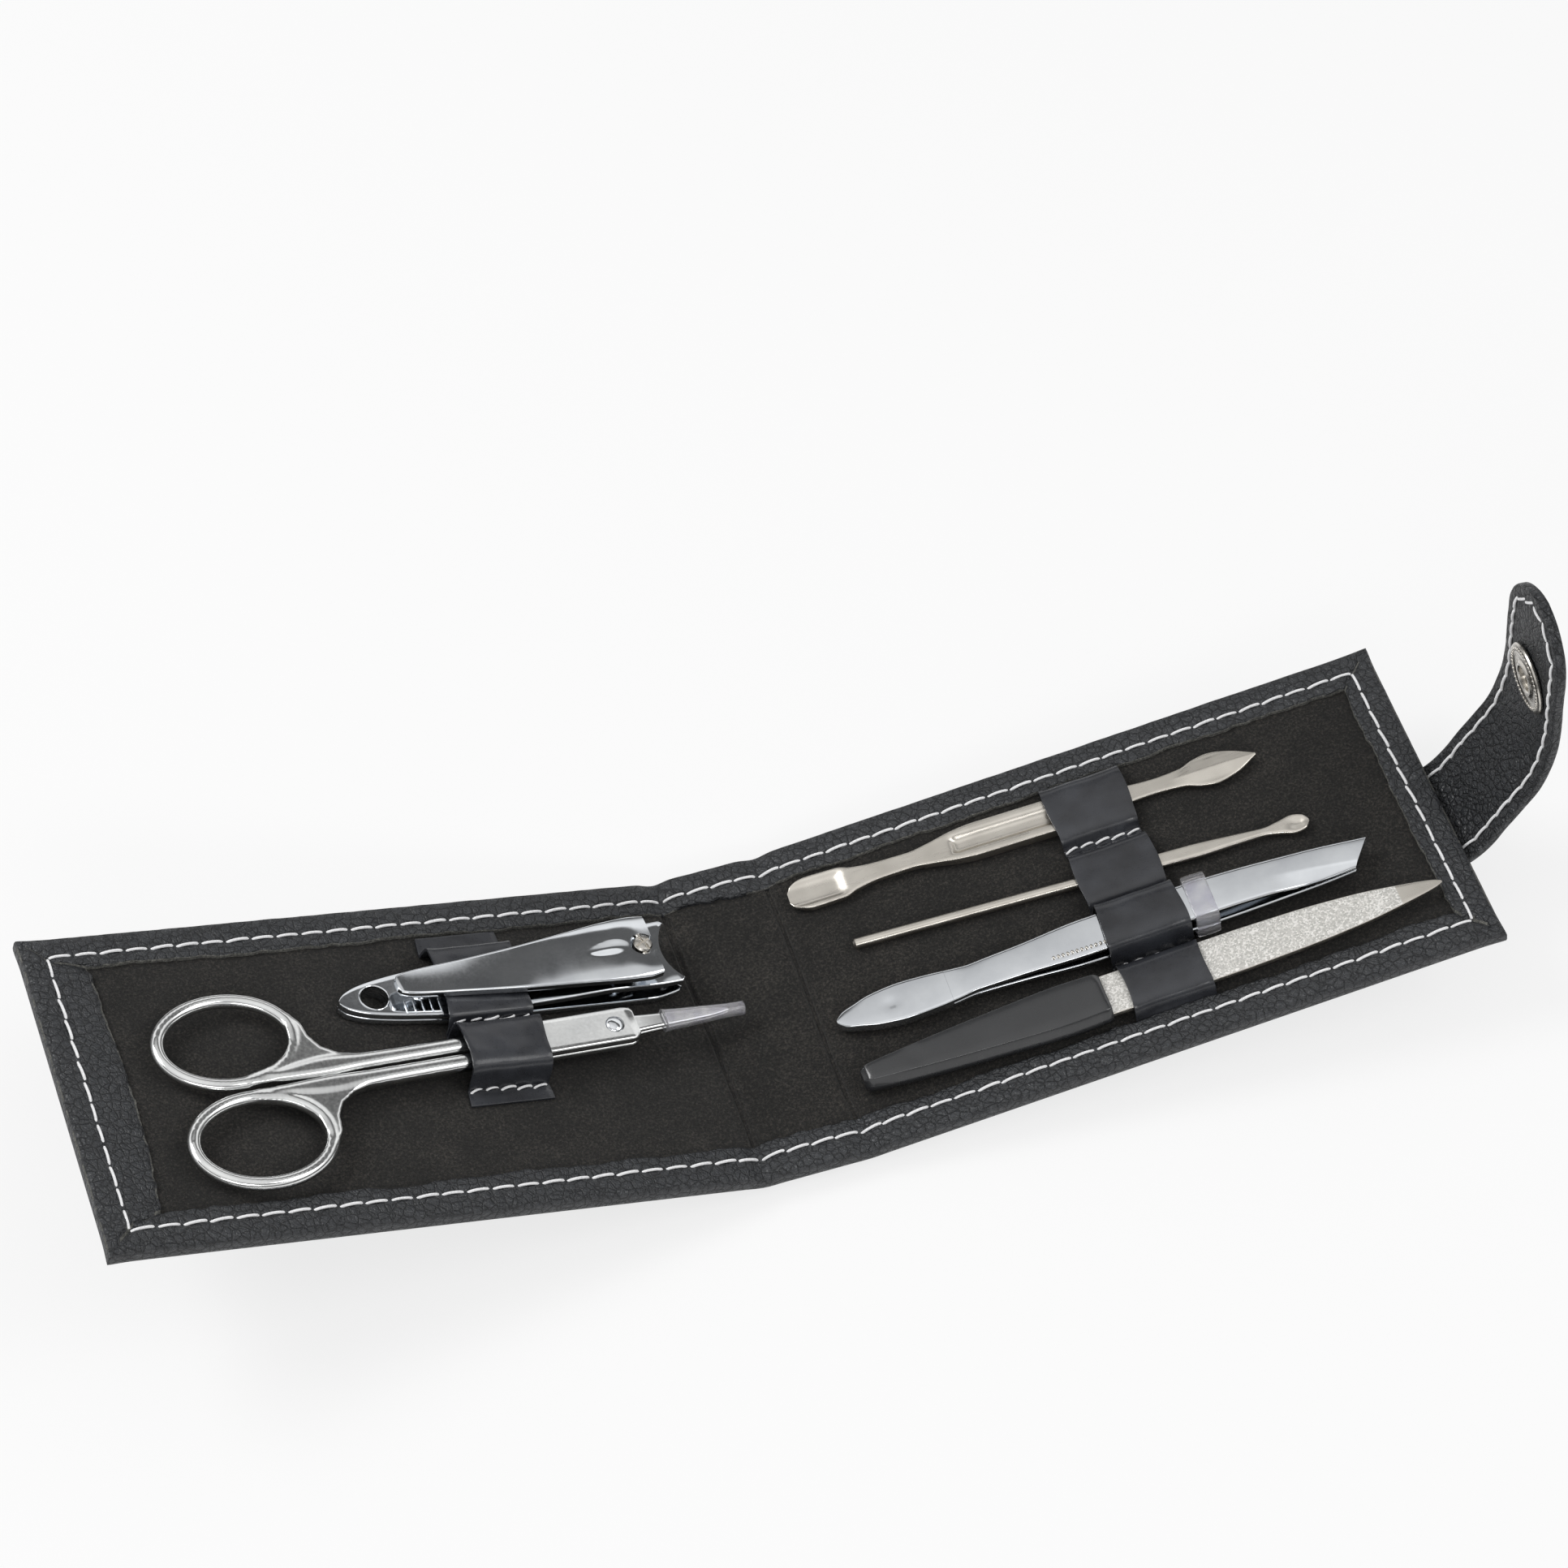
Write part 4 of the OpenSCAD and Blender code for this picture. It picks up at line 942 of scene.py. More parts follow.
socketOutline = [(1.95, 0.75), (2.0, 1.4), (2.25, 1.62), (2.65, 1.6), (2.95, 1.36), (3.3, 1.26), (4.2, 1.26),
        (4.45, 1.38), (5.2, 1.42), (5.6, 1.3), (5.75, 1.05), (5.7, 0.78), (1.95, 0.7)]
socket = makeTurned("socket_body", socketOutline, snapFrame, nickel, 72)
beadSpots = [spotIn(snapFrame, (snap["beads"] * math.cos(a), snap["beads"] * math.sin(a), 1.4),
        (-math.sin(a), math.cos(a), 0)) for a in roundAngles(42)]
beads = laidOut("socket_beads", beadTree, beadSpots,
        {"Radius": 0.00026, "Stretch": (1, 1.2, 0.8), "Material": nickel})
slotPlate = makeTurned("socket_floor", [(0.05, 1.0), (2.0, 1.0), (2.0, 0.72), (0.05, 0.72)], snapFrame,
        nickel, 32)
slotPlate = cutFrom(slotPlate, [prism([(-1.5, -0.45), (1.5, -0.45), (1.5, 0.45), (-1.5, 0.45)], 0.6, 1.3,
        snapFrame)])
give(joined("snap_socket_nickel", [socket, beads, slotPlate]), "strap_end", ["snap_socket"])
studFrame = lidFrame @ moved(-snap["studAt"], strap["offset"], 0)
studOutline = [(0.05, -1.8), (1.0, -1.76), (1.6, -1.6), (1.88, -1.3), (1.9, -1.05), (1.7, -0.8), (1.5, -0.68),
        (2.0, -0.6), (3.2, -0.52), (3.75, -0.35), (3.8, -0.12), (3.7, 0.02), (1.2, 0.04), (1.2, 1.95),
        (0.05, 2.0)]
give(makeTurned("snap_stud_nickel", studOutline, studFrame, nickel), "lid", ["snap_stud"])
print("strap and snap made")

# Vinyl loops over the tools: lines of (depth, height over the lining), one piece for each loop
loops = {"wide": 13.0, "thick": 0.42, "lidAt": 28.8, "panelAt": 45.4, "seamGap": 2.3}
loopLines = {"lid_strip_scissors": ("lid", [(-9.9, 0.1), (-8.6, 0.12), (-7.3, 0.1), (-6.75, 0.4),
        (-6.45, 2.6), (-6.0, 4.5), (-5.0, 5.25), (-2.2, 5.4), (1.2, 5.25), (2.25, 4.5), (2.7, 2.4),
        (2.85, 0.3), (3.1, 0.08), (3.4, 0.05)], "scissors_pull"),
        "lid_strip_clipper": ("lid", [(3.4, 0.05), (3.65, 0.1), (3.95, 0.6), (4.35, 2.4), (4.8, 3.5),
        (5.7, 3.8), (11.0, 3.85), (16.4, 3.8), (17.5, 3.4), (18.2, 1.6), (18.8, 0.3), (19.6, 0.08),
        (22.4, 0.06)], "clipper_lift"), "panel_strip_file": ("tool_panel",
        [(-22.4, 0.1), (-22.1, 0.8), (-21.7, 2.2), (-20.8, 2.9), (-18, 3.12), (-15.0, 2.95), (-13.9, 2.3),
        (-13.5, 0.9), (-13.2, 0.15), (-12.7, 0.05)], "file_lift"),
        "panel_strip_tweezers": ("tool_panel", [(-12.7, 0.05), (-12.2, 0.12), (-11.9, 0.9), (-11.7, 3.2),
        (-11.2, 4.9), (-10.0, 5.5), (-7.5, 5.62), (-5.0, 5.5), (-3.8, 5.0), (-3.2, 3.6), (-2.7, 1.3),
        (-2.4, 0.4), (-1.9, 0.15)], "tweezers_lift"),
        "panel_strip_ear_pick": ("tool_panel", [(-1.9, 0.15), (-1.4, 0.6), (-0.8, 1.5), (0.0, 1.95),
        (2.0, 2.08), (4.5, 2.15), (7.6, 2.1), (8.6, 1.2), (9.4, 0.3), (10.0, 0.08), (10.5, 0.05)],
        "ear_pick_lift"), "panel_strip_pusher": ("tool_panel",
        [(10.5, 0.05), (11.0, 0.12), (11.5, 0.9), (12.3, 1.9), (14, 2.3), (18, 2.55), (20.6, 2.45),
        (21.7, 1.7), (22.2, 0.6), (22.5, 0.1)], "pusher_lift")}


def stripFrame(body):
    return onLid(loops["lidAt"] + loops["wide"], 0) if body == "lid" else onPanel(loops["panelAt"], 0)


def makeLoop(name, body, line):
    base = stripFrame(body)
    path = [p for p, _ in curveThrough(line, 0.35)]
    top, under = [], []
    columns = 15
    for i, p in enumerate(path):
        a, b = path[max(i - 1, 0)], path[min(i + 1, len(path) - 1)]
        along = (b - a).normalized()
        for level, store in ((loops["thick"], top), (0.0, under)):
            for j in range(columns):
                x = loops["wide"] * j / (columns - 1)
                edge = abs(2 * j / (columns - 1) - 1)
                high = p.y > 1.0
                # the edges flare a little and the middle sags between the tool's sides
                flare = 0.16 * edge ** 6 if high else 0.0
                wave = 0.12 * noise.noise(Vector((x / 4, p.x / 4, len(name)))) if high else 0.0
                slack = 0.22 * math.sin(p.x / 2.3) * (2 * j / (columns - 1) - 1) * (1 if edge == 1 else 0.8)
                n = level + flare + wave
                store.append((x + slack, p.x - along.y * n, max(p.y + along.x * n, 0.03 + level * 0.8)))
    cuts = [slice(i * columns, (i + 1) * columns) for i in range(len(path))]
    rings = [top[cut] + under[cut][::-1] for cut in cuts]
    made = makePiece(name + "_vinyl", *skin(rings), base, vinyl, 60)
    bevelEdges(made, 0.08, 2, 60, 50)
    give(made, body, ["lid_strip" if body == "lid" else "panel_strip"])
    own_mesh(made)


def makeSeam(name, body, b, over=0.5, lean=0.0):
    base = stripFrame(body)
    path = [base @ Vector((x * 0.25, b + 0.25 * math.sin(x / 9), over)) for x in range(1, 52)]
    up = base.to_3x3() @ Vector((0, -lean, 1)).normalized()
    give(laidOut(name, stitchTree, spotsAlong(path, up, loops["seamGap"]),
            {**threadIn, "Stitch Length": 0.0022, "Thread Radius": 0.00043, "Slant": 0.22, "Seed": 9}), body)


for name, (body, line, joint) in loopLines.items():
    makeLoop(name, body, line)
makeSeam("lid_seam_near_stitches", "lid", -7.3, 0.66)
makeSeam("lid_seam_far_stitches", "lid", 4.02, 3.08, 2.0)
makeSeam("panel_seam_near_stitches", "tool_panel", -12.7)
makeSeam("panel_seam_far_stitches", "tool_panel", 10.5)
print("vinyl loops made")

# Scissors: ring, shank and flat of one half, then the same turned over for the other
scissors = {"pivotZ": 4.025, "rise": 1.35, "shank": 59.4, "ringLong": 10.55, "ringWide": 7.75, "ringY": 9.1,
        "wire": 1.15}
scissorsFrame = onLid(17.3, -1, 3.2) @ moved(0, 0, scissors["pivotZ"]) @ turned(-scissors["rise"], "Y")


def blankShape(x, y, z):
    # the pressed plate leans a little across the blade
    return x, y, z - (0.045 * y if z < -0.6 and -13 < x < 3 else 0)


def makeScissorsHalf(name, place, body, nodes):
    ring = [(-scissors["shank"] + scissors["ringLong"] * math.cos(a),
            -scissors["ringY"] + scissors["ringWide"] * math.sin(a), 0) for a in roundAngles(120)]
    wire = makeTube("ring", ring, scissors["wire"], place, satinChrome, 20, True, 0.92)
    stem = makeBar("stem", [(-58, -1.5, 0.7, -0.8, 0.8), (-54, -1.5, 1.15, -1.1, 1.1),
            (-46, -1.75, 1.75, -1.15, 1.15), (-40, -1.62, 1.42, -1.18, 1.18), (-30, -1.56, 1.34, -1.2, 1.2),
            (-14, -1.55, 1.32, -1.22, 1.22), (-11.5, -1.55, 1.2, -1.2, -0.1)], place, satinChrome, 0.85, 9)
    # broad flat web between the ring and the shank, rounded where the parts melt together
    webPlan = [(-58.5, -0.45), (-37, -0.45), (-37, -2.7), (-40.5, -2.95), (-43.4, -3.7), (-45.7, -5.3),
            (-47.0, -7.6), (-47.4, -10.2), (-49.0, -12.6), (-49.9, -9.6), (-50.2, -7.0), (-51.6, -4.9),
            (-54.0, -3.4), (-58.5, -2.3)]
    web = prism(webPlan, -0.95, 0.95, place, satinChrome)
    halfBody = fuse(joined("half_body", [wire, stem, web]), 0.18, 26)
    flat = makeBar("flat", [(-17.5, -1.55, 1.2, -1.22, -0.04), (-13.9, -1.5, 1.38, -1.28, -0.04),
            (-13.0, -1.1, 1.9, -1.3, -0.04), (-12.3, -0.3, 2.85, -1.3, -0.04), (-11.4, 0, 3.12, -1.3, -0.04),
            (2.2, 0, 3.12, -1.3, -0.04), (3.2, 0, 2.75, -1.3, -0.04), (3.55, 0, 2.2, -1.28, -0.04),
            (3.75, 0, 1.5, -0.85, -0.04), (12, 0, 1.05, -0.68, -0.04), (16, 0, 0.8, -0.62, -0.04),
            (19, 0, 0.3, -0.56, -0.04)], place, satinChrome, 0.3, 11, 0.0, 0.5, blankShape)
    give(shadeSmooth(joined(name, [halfBody, flat]), 40), body, nodes)


makeScissorsHalf("scissors_near_chrome", scissorsFrame, "scissors", ["scissors_near_half"])
makeScissorsHalf("scissors_far_chrome", scissorsFrame @ turned(180, "X"), "scissors_swing",
        ["scissors_far_half"])
rivetOutline = [(0.05, 1.84), (0.7, 1.8), (1.15, 1.68), (1.4, 1.5), (1.5, 1.3), (1.45, 1.2), (1.45, -1.3),
        (0.05, -1.3)]
give(makeTurned("scissors_rivet_nickel", rivetOutline, scissorsFrame, chrome, 48), "scissors",
        ["scissors_screw"])
sheathRings = []
for x, half, high, low in smoothRows([(8.2, 1.8, 1.35, -1.15), (9.0, 1.7, 1.25, -1.1), (14, 1.4, 1.12, -1.0),
        (20.8, 1.05, 0.98, -0.95), (21.7, 1.12, 1.0, -0.98)], 0.5):
    sheathRings.append([(x, y, z) for y, z in roundedSection(half, low, high, 0.9, 7, 0.1)])
tubePoints, tubeFaces = skin(sheathRings)
sheath = makePiece("scissors_sheath_clear", tubePoints, tubeFaces[:-2], scissorsFrame, clearSheath)
wall = sheath.modifiers.new("wall", "SOLIDIFY")
wall.thickness = 0.26 * mm
wall.offset = -1
settle(sheath)
sheath.data.shade_smooth()
give(sheath, "sheath", ["scissors_sheath"])
print("scissors made")

# Nail clipper: two leaves, rivet, pin with its cross bar, and the tapered lever
clipper = {"s": 57.8, "b": 10.1, "turn": 2, "pin": 48.5, "rivet": 12.6, "hole": 5.6}
clipperFrame = onLid(clipper["s"], clipper["b"], clipper["turn"])
leafPlan = [(0, 0.4), (0.4, 0.95), (1, 1.5), (3.3, 2.6), (6, 3.3), (9.3, 3.9), (13, 4.4), (17, 4.9),
        (35, 5.5), (50, 5.9), (53.9, 5.9), (54.6, 5.2)]


def planHalf(plan, x):
    for (a, wideA), (b, wideB) in zip(plan, plan[1:]):
        if a <= x <= b:
            return wideA + (wideB - wideA) * (x - a) / (b - a)
    return plan[-1][1]


def planRows(plan, sides):
    # sides are (x, low, high); a row wherever they or the plan have a point
    lows, highs = ([(side[0], side[k]) for side in sides] for k in (1, 2))
    places = sorted({x for x, _ in plan if x >= sides[0][0]} | {x for x, _ in lows})
    return [(x, 0, planHalf(plan, x), planHalf(lows, x), planHalf(highs, x)) for x in places]


def makeLeaf(name, sides):
    return makeBar(name, planRows(leafPlan, sides), clipperFrame, chrome, 0.28, 11, 0.0, 0.6)


def jawCut():
    outline = arcPoints((60.3, 0), 8, 90, 270, 40) + [(70, -8), (70, 8)]
    return prism(outline, -2, 12, clipperFrame)


lower = makeLeaf("clipper_lower_chrome", [(0, 0.3, 1.5), (50.5, 0.3, 1.5), (52, 0.75, 1.9), (54.6, 1.9, 3.1)])
cutFrom(lower, [cylinderAt(clipper["hole"], 0, -2, 12, 2.2, clipperFrame), jawCut()])
give(lower, "clipper", ["clipper_lower_leaf"])
upper = makeLeaf("clipper_upper_leaf_chrome", [(0, 1.56, 2.76), (20, 1.56, 2.76), (32, 2.6, 3.8),
        (43.5, 3.75, 4.95), (50.5, 3.8, 5.0), (54.6, 4.15, 5.3)])
cutFrom(upper, [cylinderAt(clipper["hole"], 0, -2, 12, 2.2, clipperFrame), jawCut(),
        cylinderAt(clipper["pin"], 0, -2, 12, 1.7, clipperFrame)])
tickSpots = [spotIn(clipperFrame, (9.9 + 1.35 * k, -2.6 - 0.06 * k, 2.8), (0.05, 1, 0)) for k in range(5)]
ticks = laidOut("ticks", beadTree, tickSpots, {"Radius": 0.0001, "Stretch": (15, 1.6, 1.6),
        "Material": chrome})
rim = makeTube("rim", [(x, y, 2.74) for x, y in arcPoints((clipper["hole"], 0), 2.3, 0, 351, 40)], 0.16,
        clipperFrame, chrome, 8, True)
upper = shadeSmooth(joined("clipper_upper_chrome", [upper, ticks, rim]), 30)
give(upper, "clipper_jaw", ["clipper_upper_leaf"])
rivet = makeTurned("clipper_rivet_chrome", [(0.05, 3.4), (0.6, 3.36), (1.1, 3.2), (1.4, 2.95), (1.45, 2.7),
        (1.28, 2.6), (1.28, 0.3), (0.05, 0.3)], clipperFrame @ moved(clipper["rivet"], 0, 0), chrome, 40)
give(rivet, "clipper", ["clipper_tail_rivet"])
pinFrame = clipperFrame @ moved(clipper["pin"], 0, 0)
pin = makeTurned("pin", [(0.05, 8.35), (0.8, 8.32), (1.3, 8.15), (1.5, 7.85), (1.5, 6.9), (1.1, 6.75),
        (1.1, 0.95), (1.85, 0.9), (1.85, 0.35), (0.05, 0.3)], pinFrame, nickel, 40)
pin = cutFrom(pin, [prism([(-1.6, -0.2), (1.6, -0.2), (1.6, 0.2), (-1.6, 0.2)], 7.95, 9,
        pinFrame @ turned(a, "Z")) for a in (25, 115)])
crossBar = makeTube("bar", [(0, -3.4, 7.2), (0, 3.4, 7.2)], 0.55, pinFrame, nickel, 16)
give(joined("clipper_pin_nickel", [pin, crossBar]), "clipper_pin", ["clipper_pin"])


def leverShape(x, y, z):
    # a shallow drop-shaped thumb dimple beside the pin, and sides pressed down a little
    dimple = ((x - 43.0) / 3.3) ** 2 + (y / (1.15 + 0.14 * (x - 41))) ** 2 if x < 46.3 else 1
    z -= 0.34 * max(0.0, 1 - dimple) * (0.5 + 0.4 * y)
    z -= 0.5 * smoothstep((x - 20) / 20) * abs(y / 5.9) ** 6
    return x, y, z


lever = makeBar("clipper_lever_chrome", [(8.7, 0, 1.0, 4.45, 5.5), (9.0, 0, 1.6, 4.42, 5.6),
        (11.1, 0, 2.2, 4.42, 5.65), (20, 0, 3.1, 4.48, 5.72), (27.7, 0, 3.9, 4.7, 5.95),
        (33, 0, 4.45, 5.1, 6.38), (38, 0, 5.0, 5.6, 6.9), (44, 0, 5.65, 6.2, 7.5), (48, 0, 5.85, 6.5, 7.8),
        (50.3, 0, 5.5, 6.55, 7.85)], clipperFrame, chrome, 0.3, 41, 0.05, 0.4, leverShape)
slotOutline = arcPoints((clipper["pin"], 0), 2.0, 38, 322, 32) + [(60, -1.24), (60, 1.24)]
cutFrom(lever, [prism(slotOutline, 0, 14, clipperFrame)])
give(lever, "clipper_lever", ["clipper_lever"])
print("clipper made")

# Tweezers: spade end, two arms, grip dots and the clear ring
tweezersFrame = onPanel(2.5, -6.6, -1.5)
tweezersPlan = [(0, 0.4), (0.5, 0.95), (1.4, 1.55), (6, 2.9), (11, 3.4), (16, 3.15), (22, 2.5), (30, 2.75),
        (40, 3.3), (56, 3.3), (76.5, 2.95), (86.5, 2.3)]


def makeArm(name, sides, shape):
    made = makeBar(name, planRows(tweezersPlan, sides), tweezersFrame, chrome, 0.3, 21, 0.1, 0.6, shape)
    slant = prism([(82.6, -3.4), (87.5, 3.4), (100, 3.4), (100, -3.4)], -3, 12, tweezersFrame)
    return cutFrom(made, [slant])


def spadeShape(x, y, z):
    # a thumb dimple in the joined end
    if z > 2:
        z -= 0.14 * math.exp(-((x - 8.8) / 1.2) ** 2 - (y / 1.1) ** 2)
    return x, y, z


def tipShape(x, y, z):
    # near the tips the near side of the upper arm is ground down to a bevel
    fold = -0.1 - 1.5 * (x - 71) / 13
    if x > 69 and y < fold and z > 4.5 - (x - 69) * 0.063:
        z -= 0.42 * (fold - y) * smoothstep((x - 69) / 9)
    return x, y, z


lowerArm = makeArm("tweezers_lower_chrome", [(0, 1.1, 2.6), (3, 1.1, 2.82), (6, 1.1, 2.92),
        (17.95, 1.1, 2.96), (18.0, 1.1, 2.0), (30, 1.05, 1.95), (60, 1.05, 1.95), (86.5, 2.0, 2.85)],
        spadeShape)
give(lowerArm, "tweezers", ["tweezers_lower_arm"])
upperArm = makeArm("upper_arm", [(17.97, 2.04, 2.96), (19.5, 2.1, 3.0), (24.3, 2.5, 3.4), (40.3, 3.6, 4.5),
        (51, 3.95, 4.85), (59, 4.25, 5.15), (62, 4.28, 5.17), (86.5, 2.98, 3.85)], tipShape)
dots = []
for k in range(17):
    x = 34.5 + 0.75 * k
    high = planHalf([(24.3, 3.4), (40.3, 4.5), (51, 4.85)], x)
    dots.append(spotIn(tweezersFrame, (x, 1.1 - planHalf(tweezersPlan, x), high + 0.1), (1, 0, 0)))
gripDots = laidOut("grip_dots", beadTree, dots, {"Radius": 0.00028, "Stretch": (1, 1.3, 1),
        "Material": nickel})
upperArm = joined("tweezers_upper_chrome", [upperArm, gripDots])
upperArm.data.set_sharp_from_angle(angle=math.radians(30))
give(upperArm, "tweezers_arm", ["tweezers_upper_arm"])
bandRings = []
for x, grow in ((57.0, -0.1), (57.25, 0.0), (58.85, 0.04), (60.45, 0.0), (60.7, -0.1)):
    bandRings.append([(x, y, z) for y, z in roundedSection(4.25 + grow, 0.33 - grow, 5.93 + grow, 0.8, 9)])
bandInner = [[(x, y, z) for y, z in roundedSection(3.55, 0.93, 5.32, 0.5, 9)] for x in (60.7, 57.0)]
bandPoints, bandFaces = skin(bandRings + bandInner, closed=True)
band = makePiece("tweezers_ring_clear", bandPoints, bandFaces, tweezersFrame, clearBand, 30)
give(band, "tweezers_band", ["tweezers_band"])
print("tweezers made")

# Cuticle pusher: pressed from one strip, with a scoop, a grooved handle and a leaf-shaped blade
pusherFrame = onPanel(2.8, 18.6, -1.95)


def pusherShape(x, y, z):
    upper = z > 1.05
    if upper and 25 < x < 46:
        z -= 0.8 * math.exp(-(y / 1.45) ** 6) * smoothstep((x - 26.3) / 1.2) * (1
                - smoothstep((x - 43.5) / 2.5))
    if upper and x < 11:
        z -= 0.45 * math.exp(-((x - 3.6) / 5.1) ** 12 - (y / 2.15) ** 8)
    if x > 57:
        ridge = 0.3 * max(0.0, 1 - abs(y) / 2.0) * smoothstep((x - 62) / 5)
        z += ridge if upper else 0
    return x, y, z


pusher = makeBar("cuticle_pusher_steel", [(0, 0, 1.1, 1.0, 1.72), (0.7, 0, 2.1, 0.8, 1.7),
        (3.5, 0, 3.0, 0.42, 1.6), (8.6, 0, 2.9, 0.45, 1.62), (10.6, 0, 2.2, 0.6, 1.68),
        (14.8, 0, 1.6, 0.8, 1.82), (19.9, 0, 1.5, 0.7, 1.86), (23.3, 0, 2.0, 0.55, 1.95),
        (27.5, 0, 2.8, 0.38, 2.15), (31, 0, 3.1, 0.36, 2.2), (44, 0, 3.1, 0.3, 2.2), (48, 0, 2.6, 0.45, 1.85),
        (52, 0, 2.0, 0.6, 1.6), (60, 0, 1.4, 0.62, 1.42), (64.5, 0, 1.7, 0.7, 1.42), (67, 0, 2.6, 0.75, 1.45),
        (69.5, 0, 3.0, 0.8, 1.48), (73, 0, 2.2, 0.9, 1.55), (76.7, 0, 0.25, 1.02, 1.5)], pusherFrame,
        satinSteel, 0.3, 21, 0.0, 0.45, pusherShape)
give(pusher, "cuticle_pusher", ["cuticle_pusher"])

# Ear pick: a wire that flattens toward a cupped spoon
pickFrame = onPanel(9.5, 6.8, -4.3)


def pickShape(x, y, z):
    if x > 69.5 and z > 1.1:
        z -= 0.45 * math.exp(-((x - 71.6) / 1.3) ** 2 - (y / 1.1) ** 2)
    return x, y, z


pick = makeBar("ear_pick_steel", [(0, 0, 0.45, 0.65, 1.55), (0.35, 0, 0.78, 0.32, 1.88),
        (36, 0, 0.8, 0.3, 1.9), (44, 0, 1.2, 0.6, 1.7), (54, 0, 1.3, 0.66, 1.62), (62, 0, 0.95, 0.6, 1.66),
        (66, 0, 0.75, 0.7, 1.6), (68.6, 0, 1.2, 0.75, 1.6), (71.0, 0, 1.75, 0.78, 1.62),
        (72.7, 0, 1.35, 0.8, 1.62), (73.4, 0, 0.4, 0.9, 1.5)], pickFrame, satinSteel, 0.75, 11, 0.0, 0.4,
        pickShape)
give(pick, "ear_pick", ["ear_pick"])

# Nail file: grit to within a few mm of its point, in a bevelled black handle
fileFrame = onPanel(2.8, -17.9, 0, 0.35 + 1.95)
blade = makeBar("file_blade_grit", [(28, 0, 2.0, -0.45, 0.45), (38.4, 0, 2.0, -0.45, 0.45),
        (39.1, 0, 3.6, -0.45, 0.45), (58, 0, 3.7, -0.45, 0.45), (70.3, 0, 3.45, -0.45, 0.45),
        (80.3, 0, 2.8, -0.42, 0.42), (89.3, 0, 1.5, -0.34, 0.34), (93.3, 0, 0.65, -0.25, 0.25),
        (94.3, 0, 0.2, -0.2, 0.2)], fileFrame, grit, 0.12, 7, 0.0, 0.5, None, 30)
blade.data.materials.append(satinSteel)
inFile = fileFrame.inverted()
for face in blade.data.polygons:
    middle = inFile @ (face.center / mm)
    border = planHalf([(39, 3.6), (58, 3.7), (70.3, 3.45), (80.3, 2.8), (89.3, 1.5), (94.3, 0.2)],
            middle.x) - abs(middle.y)
    if middle.x > 87.5 or border < 0.22:
        face.material_index = 1
give(blade, "nail_file", ["file_blade"])
handleStations = [(0, 1.35), (0.9, 1.95), (6, 2.7), (24, 4.0), (33, 4.4), (38.7, 4.2), (39.4, 3.95)]
handleRings = []
for x, half in smoothRows(handleStations, 0.6):
    shrink = smoothstep((1.2 - x) / 1.2) * 0.7 + smoothstep((x - 38.4) / 1.0) * 0.35
    top, sideHigh, flat = 1.95 - shrink, 0.2, half - min(0.8, half * 0.3)
    dip = 0.12 * math.exp(-((x - 8.5) / 1.3) ** 2)
    outline = [(flat, top), (flat * 0.5, top + 0.03), (0, top + 0.05), (-flat * 0.5, top + 0.03),
            (-flat, top), (-half + 0.12, sideHigh + 0.15), (-half, sideHigh - 0.15), (-half, -0.6),
            (-half + 0.25, -1.15), (-half + 0.75, -1.75), (-half * 0.4, -1.95 + shrink),
            (half * 0.4, -1.95 + shrink), (half - 0.75, -1.75), (half - 0.25, -1.15), (half, -0.6),
            (half, sideHigh - 0.15), (half - 0.12, sideHigh + 0.15)]
    handleRings.append([(x, y, z - (dip if z > 1.0 and abs(y) < 0.5 * half else 0)) for y, z in outline])
handle = makePiece("file_handle_plastic", *skin(handleRings), fileFrame, handlePlastic, 30)
bevelEdges(handle, 0.34, 3, 25, 45)
give(handle, "nail_file", ["file_handle"])
print("small tools made")

# Floor, world and lights
studio = {"floor": "#f0f0f0", "floorHalf": 2, "floorZ": -0.0018, "backdrop": 0.75, "world": 0.5, "tent": 1.05}


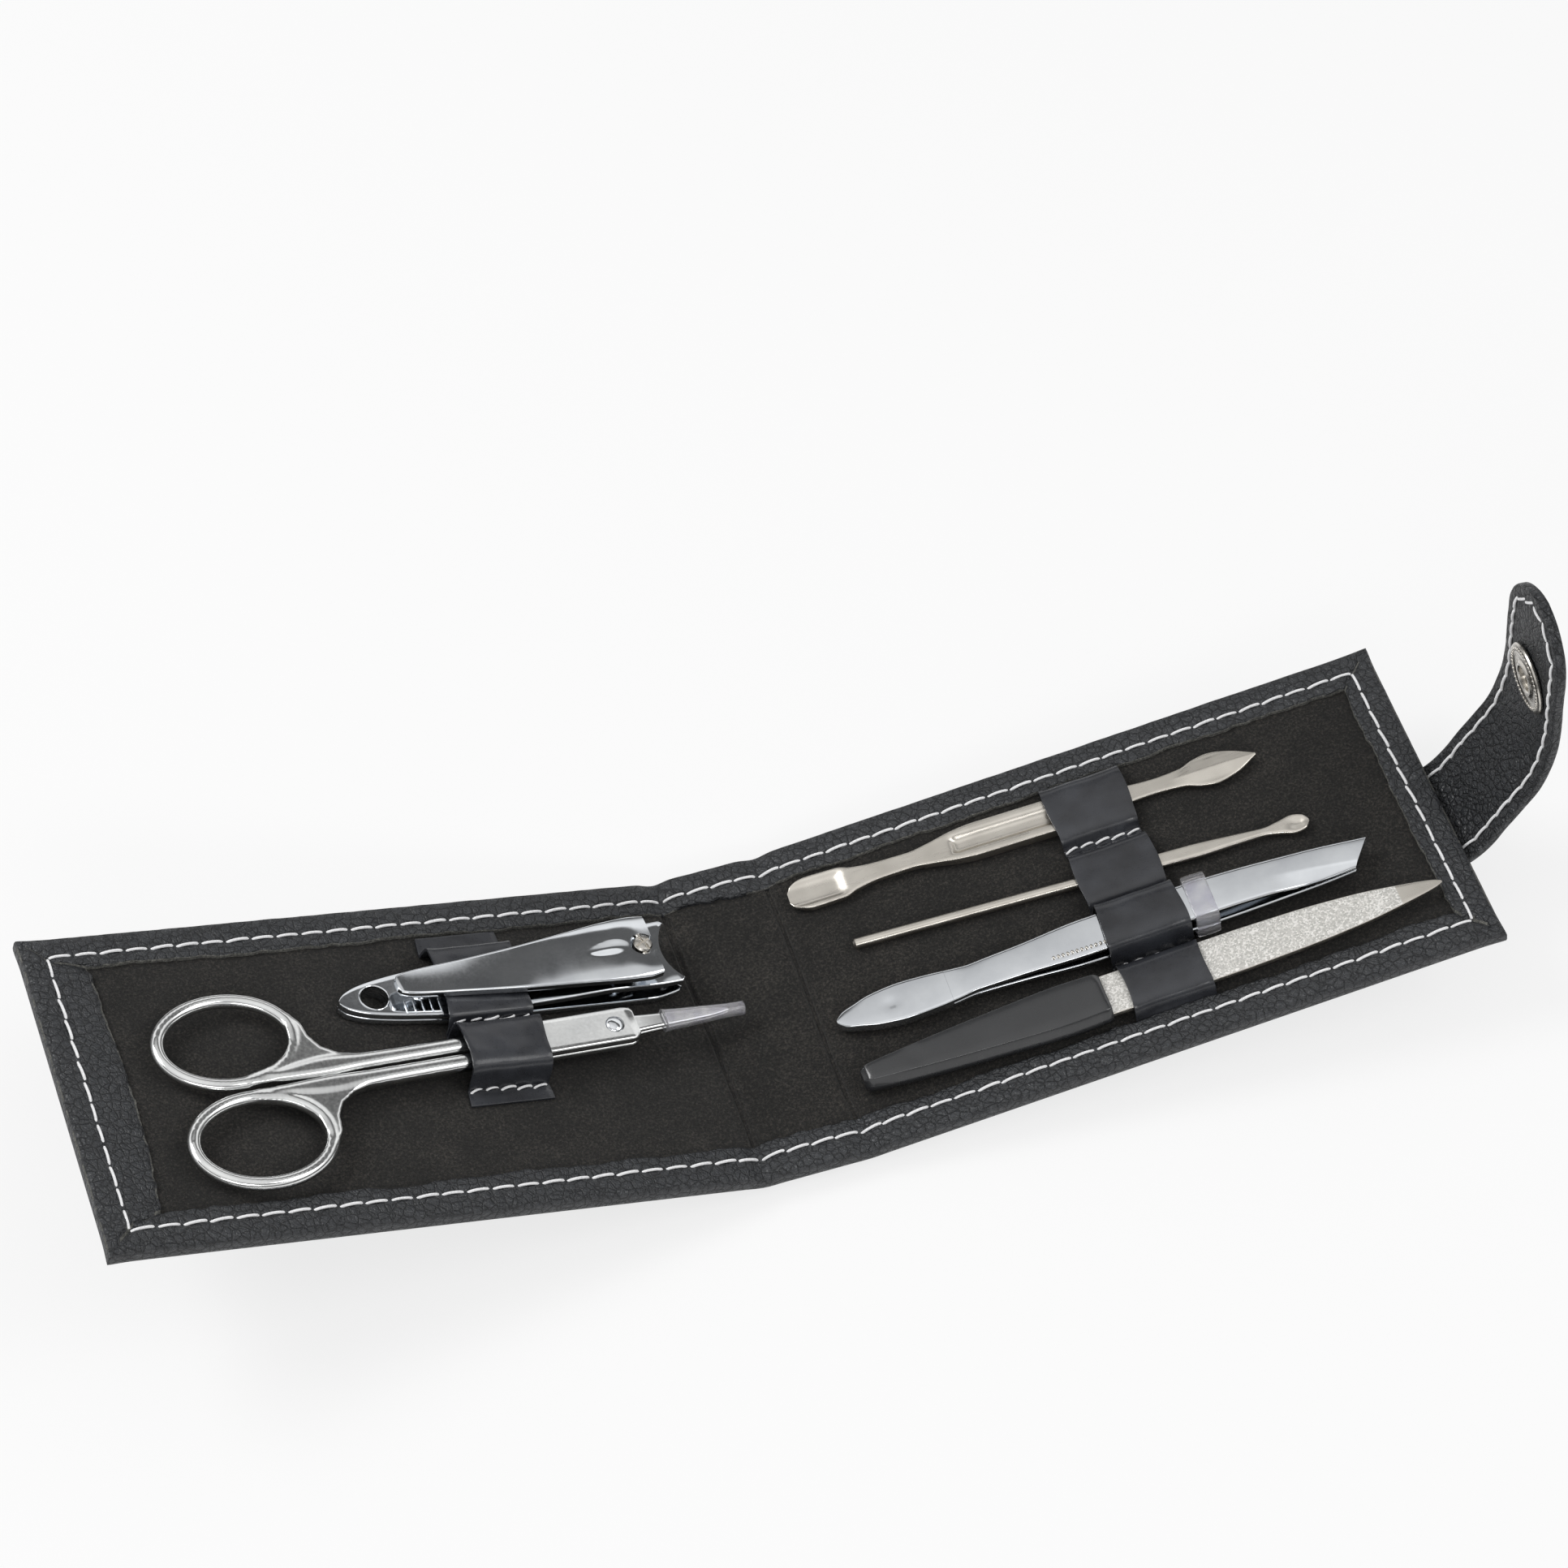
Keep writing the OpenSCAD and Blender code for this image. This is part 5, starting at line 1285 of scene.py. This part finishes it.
def makeFloor():
    data = bpy.data.meshes.new("floor")
    half = studio["floorHalf"]
    corners = [(x * half, y * half, studio["floorZ"]) for x, y in ((-1, -1), (1, -1), (1, 1), (-1, 1))]
    data.from_pydata(corners, [], [(0, 1, 2, 3)])
    made = addObject("floor", data)
    paper = bpy.data.materials.new("white_studio_paper")
    paper.use_nodes = True
    tree = paper.node_tree
    tree.nodes.clear()
    matt = addNode(tree, "ShaderNodeBsdfDiffuse", {"Color": srgb(studio["floor"])})
    glow = addNode(tree, "ShaderNodeEmission", {"Color": (1, 1, 1, 1), "Strength": 1.0})
    rays = addNode(tree, "ShaderNodeLightPath").outputs
    seen = addNode(tree, "ShaderNodeMath", {0: rays["Is Camera Ray"], 1: rays["Is Glossy Ray"]},
            operation="MAXIMUM").outputs[0]
    seen = addNode(tree, "ShaderNodeMath", {0: seen, 1: rays["Is Transmission Ray"]},
            operation="MAXIMUM").outputs[0]
    share = addNode(tree, "ShaderNodeMath", {0: seen, 1: studio["backdrop"]}, operation="MULTIPLY").outputs[0]
    mix = addNode(tree, "ShaderNodeMixShader", {0: share, 1: matt.outputs[0], 2: glow.outputs[0]})
    addNode(tree, "ShaderNodeOutputMaterial", {"Surface": mix.outputs[0]})
    data.materials.append(paper)
    made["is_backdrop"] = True


def makeWorld():
    world = bpy.data.worlds.new("studio")
    world.use_nodes = True
    scene.world = world
    tree = world.node_tree
    tree.nodes.clear()
    toward = addNode(tree, "ShaderNodeTexCoord").outputs["Generated"]
    height = addNode(tree, "ShaderNodeSeparateXYZ", {0: toward}).outputs[2]
    room = rampOf(tree, height, [(0.0, 0.35), (0.5, 0.55), (1.0, 0.6)])
    plain = addNode(tree, "ShaderNodeBackground", {"Color": room, "Strength": studio["world"] * 1.7})
    # mirrors see bright panels with dark gaps between them, as in a photographer's tent
    gaps = rampOf(tree, height, [(0.0, 0.08), (0.3, 0.2), (0.45, 0.9), (0.61, 1.0), (0.64, 0.1),
            (0.735, 0.12), (0.78, 0.62), (0.87, 0.72), (1.0, 0.95)])
    tent = addNode(tree, "ShaderNodeBackground", {"Color": gaps, "Strength": studio["tent"]})
    rays = addNode(tree, "ShaderNodeLightPath").outputs
    plain = addNode(tree, "ShaderNodeMixShader", {0: rays["Is Glossy Ray"], 1: plain.outputs[0],
            2: tent.outputs[0]})
    white = addNode(tree, "ShaderNodeBackground", {"Color": (1, 1, 1, 1), "Strength": 1.0})
    mix = addNode(tree, "ShaderNodeMixShader", {0: rays["Is Camera Ray"], 1: plain.outputs[0],
            2: white.outputs[0]})
    addNode(tree, "ShaderNodeOutputWorld", {"Surface": mix.outputs[0]})


def addLamp(name, place, size, power, tall=None):
    data = bpy.data.lights.new(name, "AREA")
    data.shape = "RECTANGLE"
    data.size = size
    data.size_y = tall or size
    data.energy = power
    made = addObject(name, data)
    made.location = place
    made.rotation_mode = "QUATERNION"
    made.rotation_quaternion = (Vector((0, 0, 0)) - Vector(place)).to_track_quat("-Z", "Y")


makeFloor()
makeWorld()
addLamp("key_softbox", (-0.55, 0.35, 0.75), 0.5, 3.9, 0.35)
addLamp("fill_softbox", (0.55, -0.25, 0.6), 0.45, 1.6)
addLamp("front_strip", (-0.2, -0.6, 0.45), 0.5, 1.0, 0.12)
scene.view_settings.view_transform = "Standard"
print("stage set")

low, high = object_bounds()
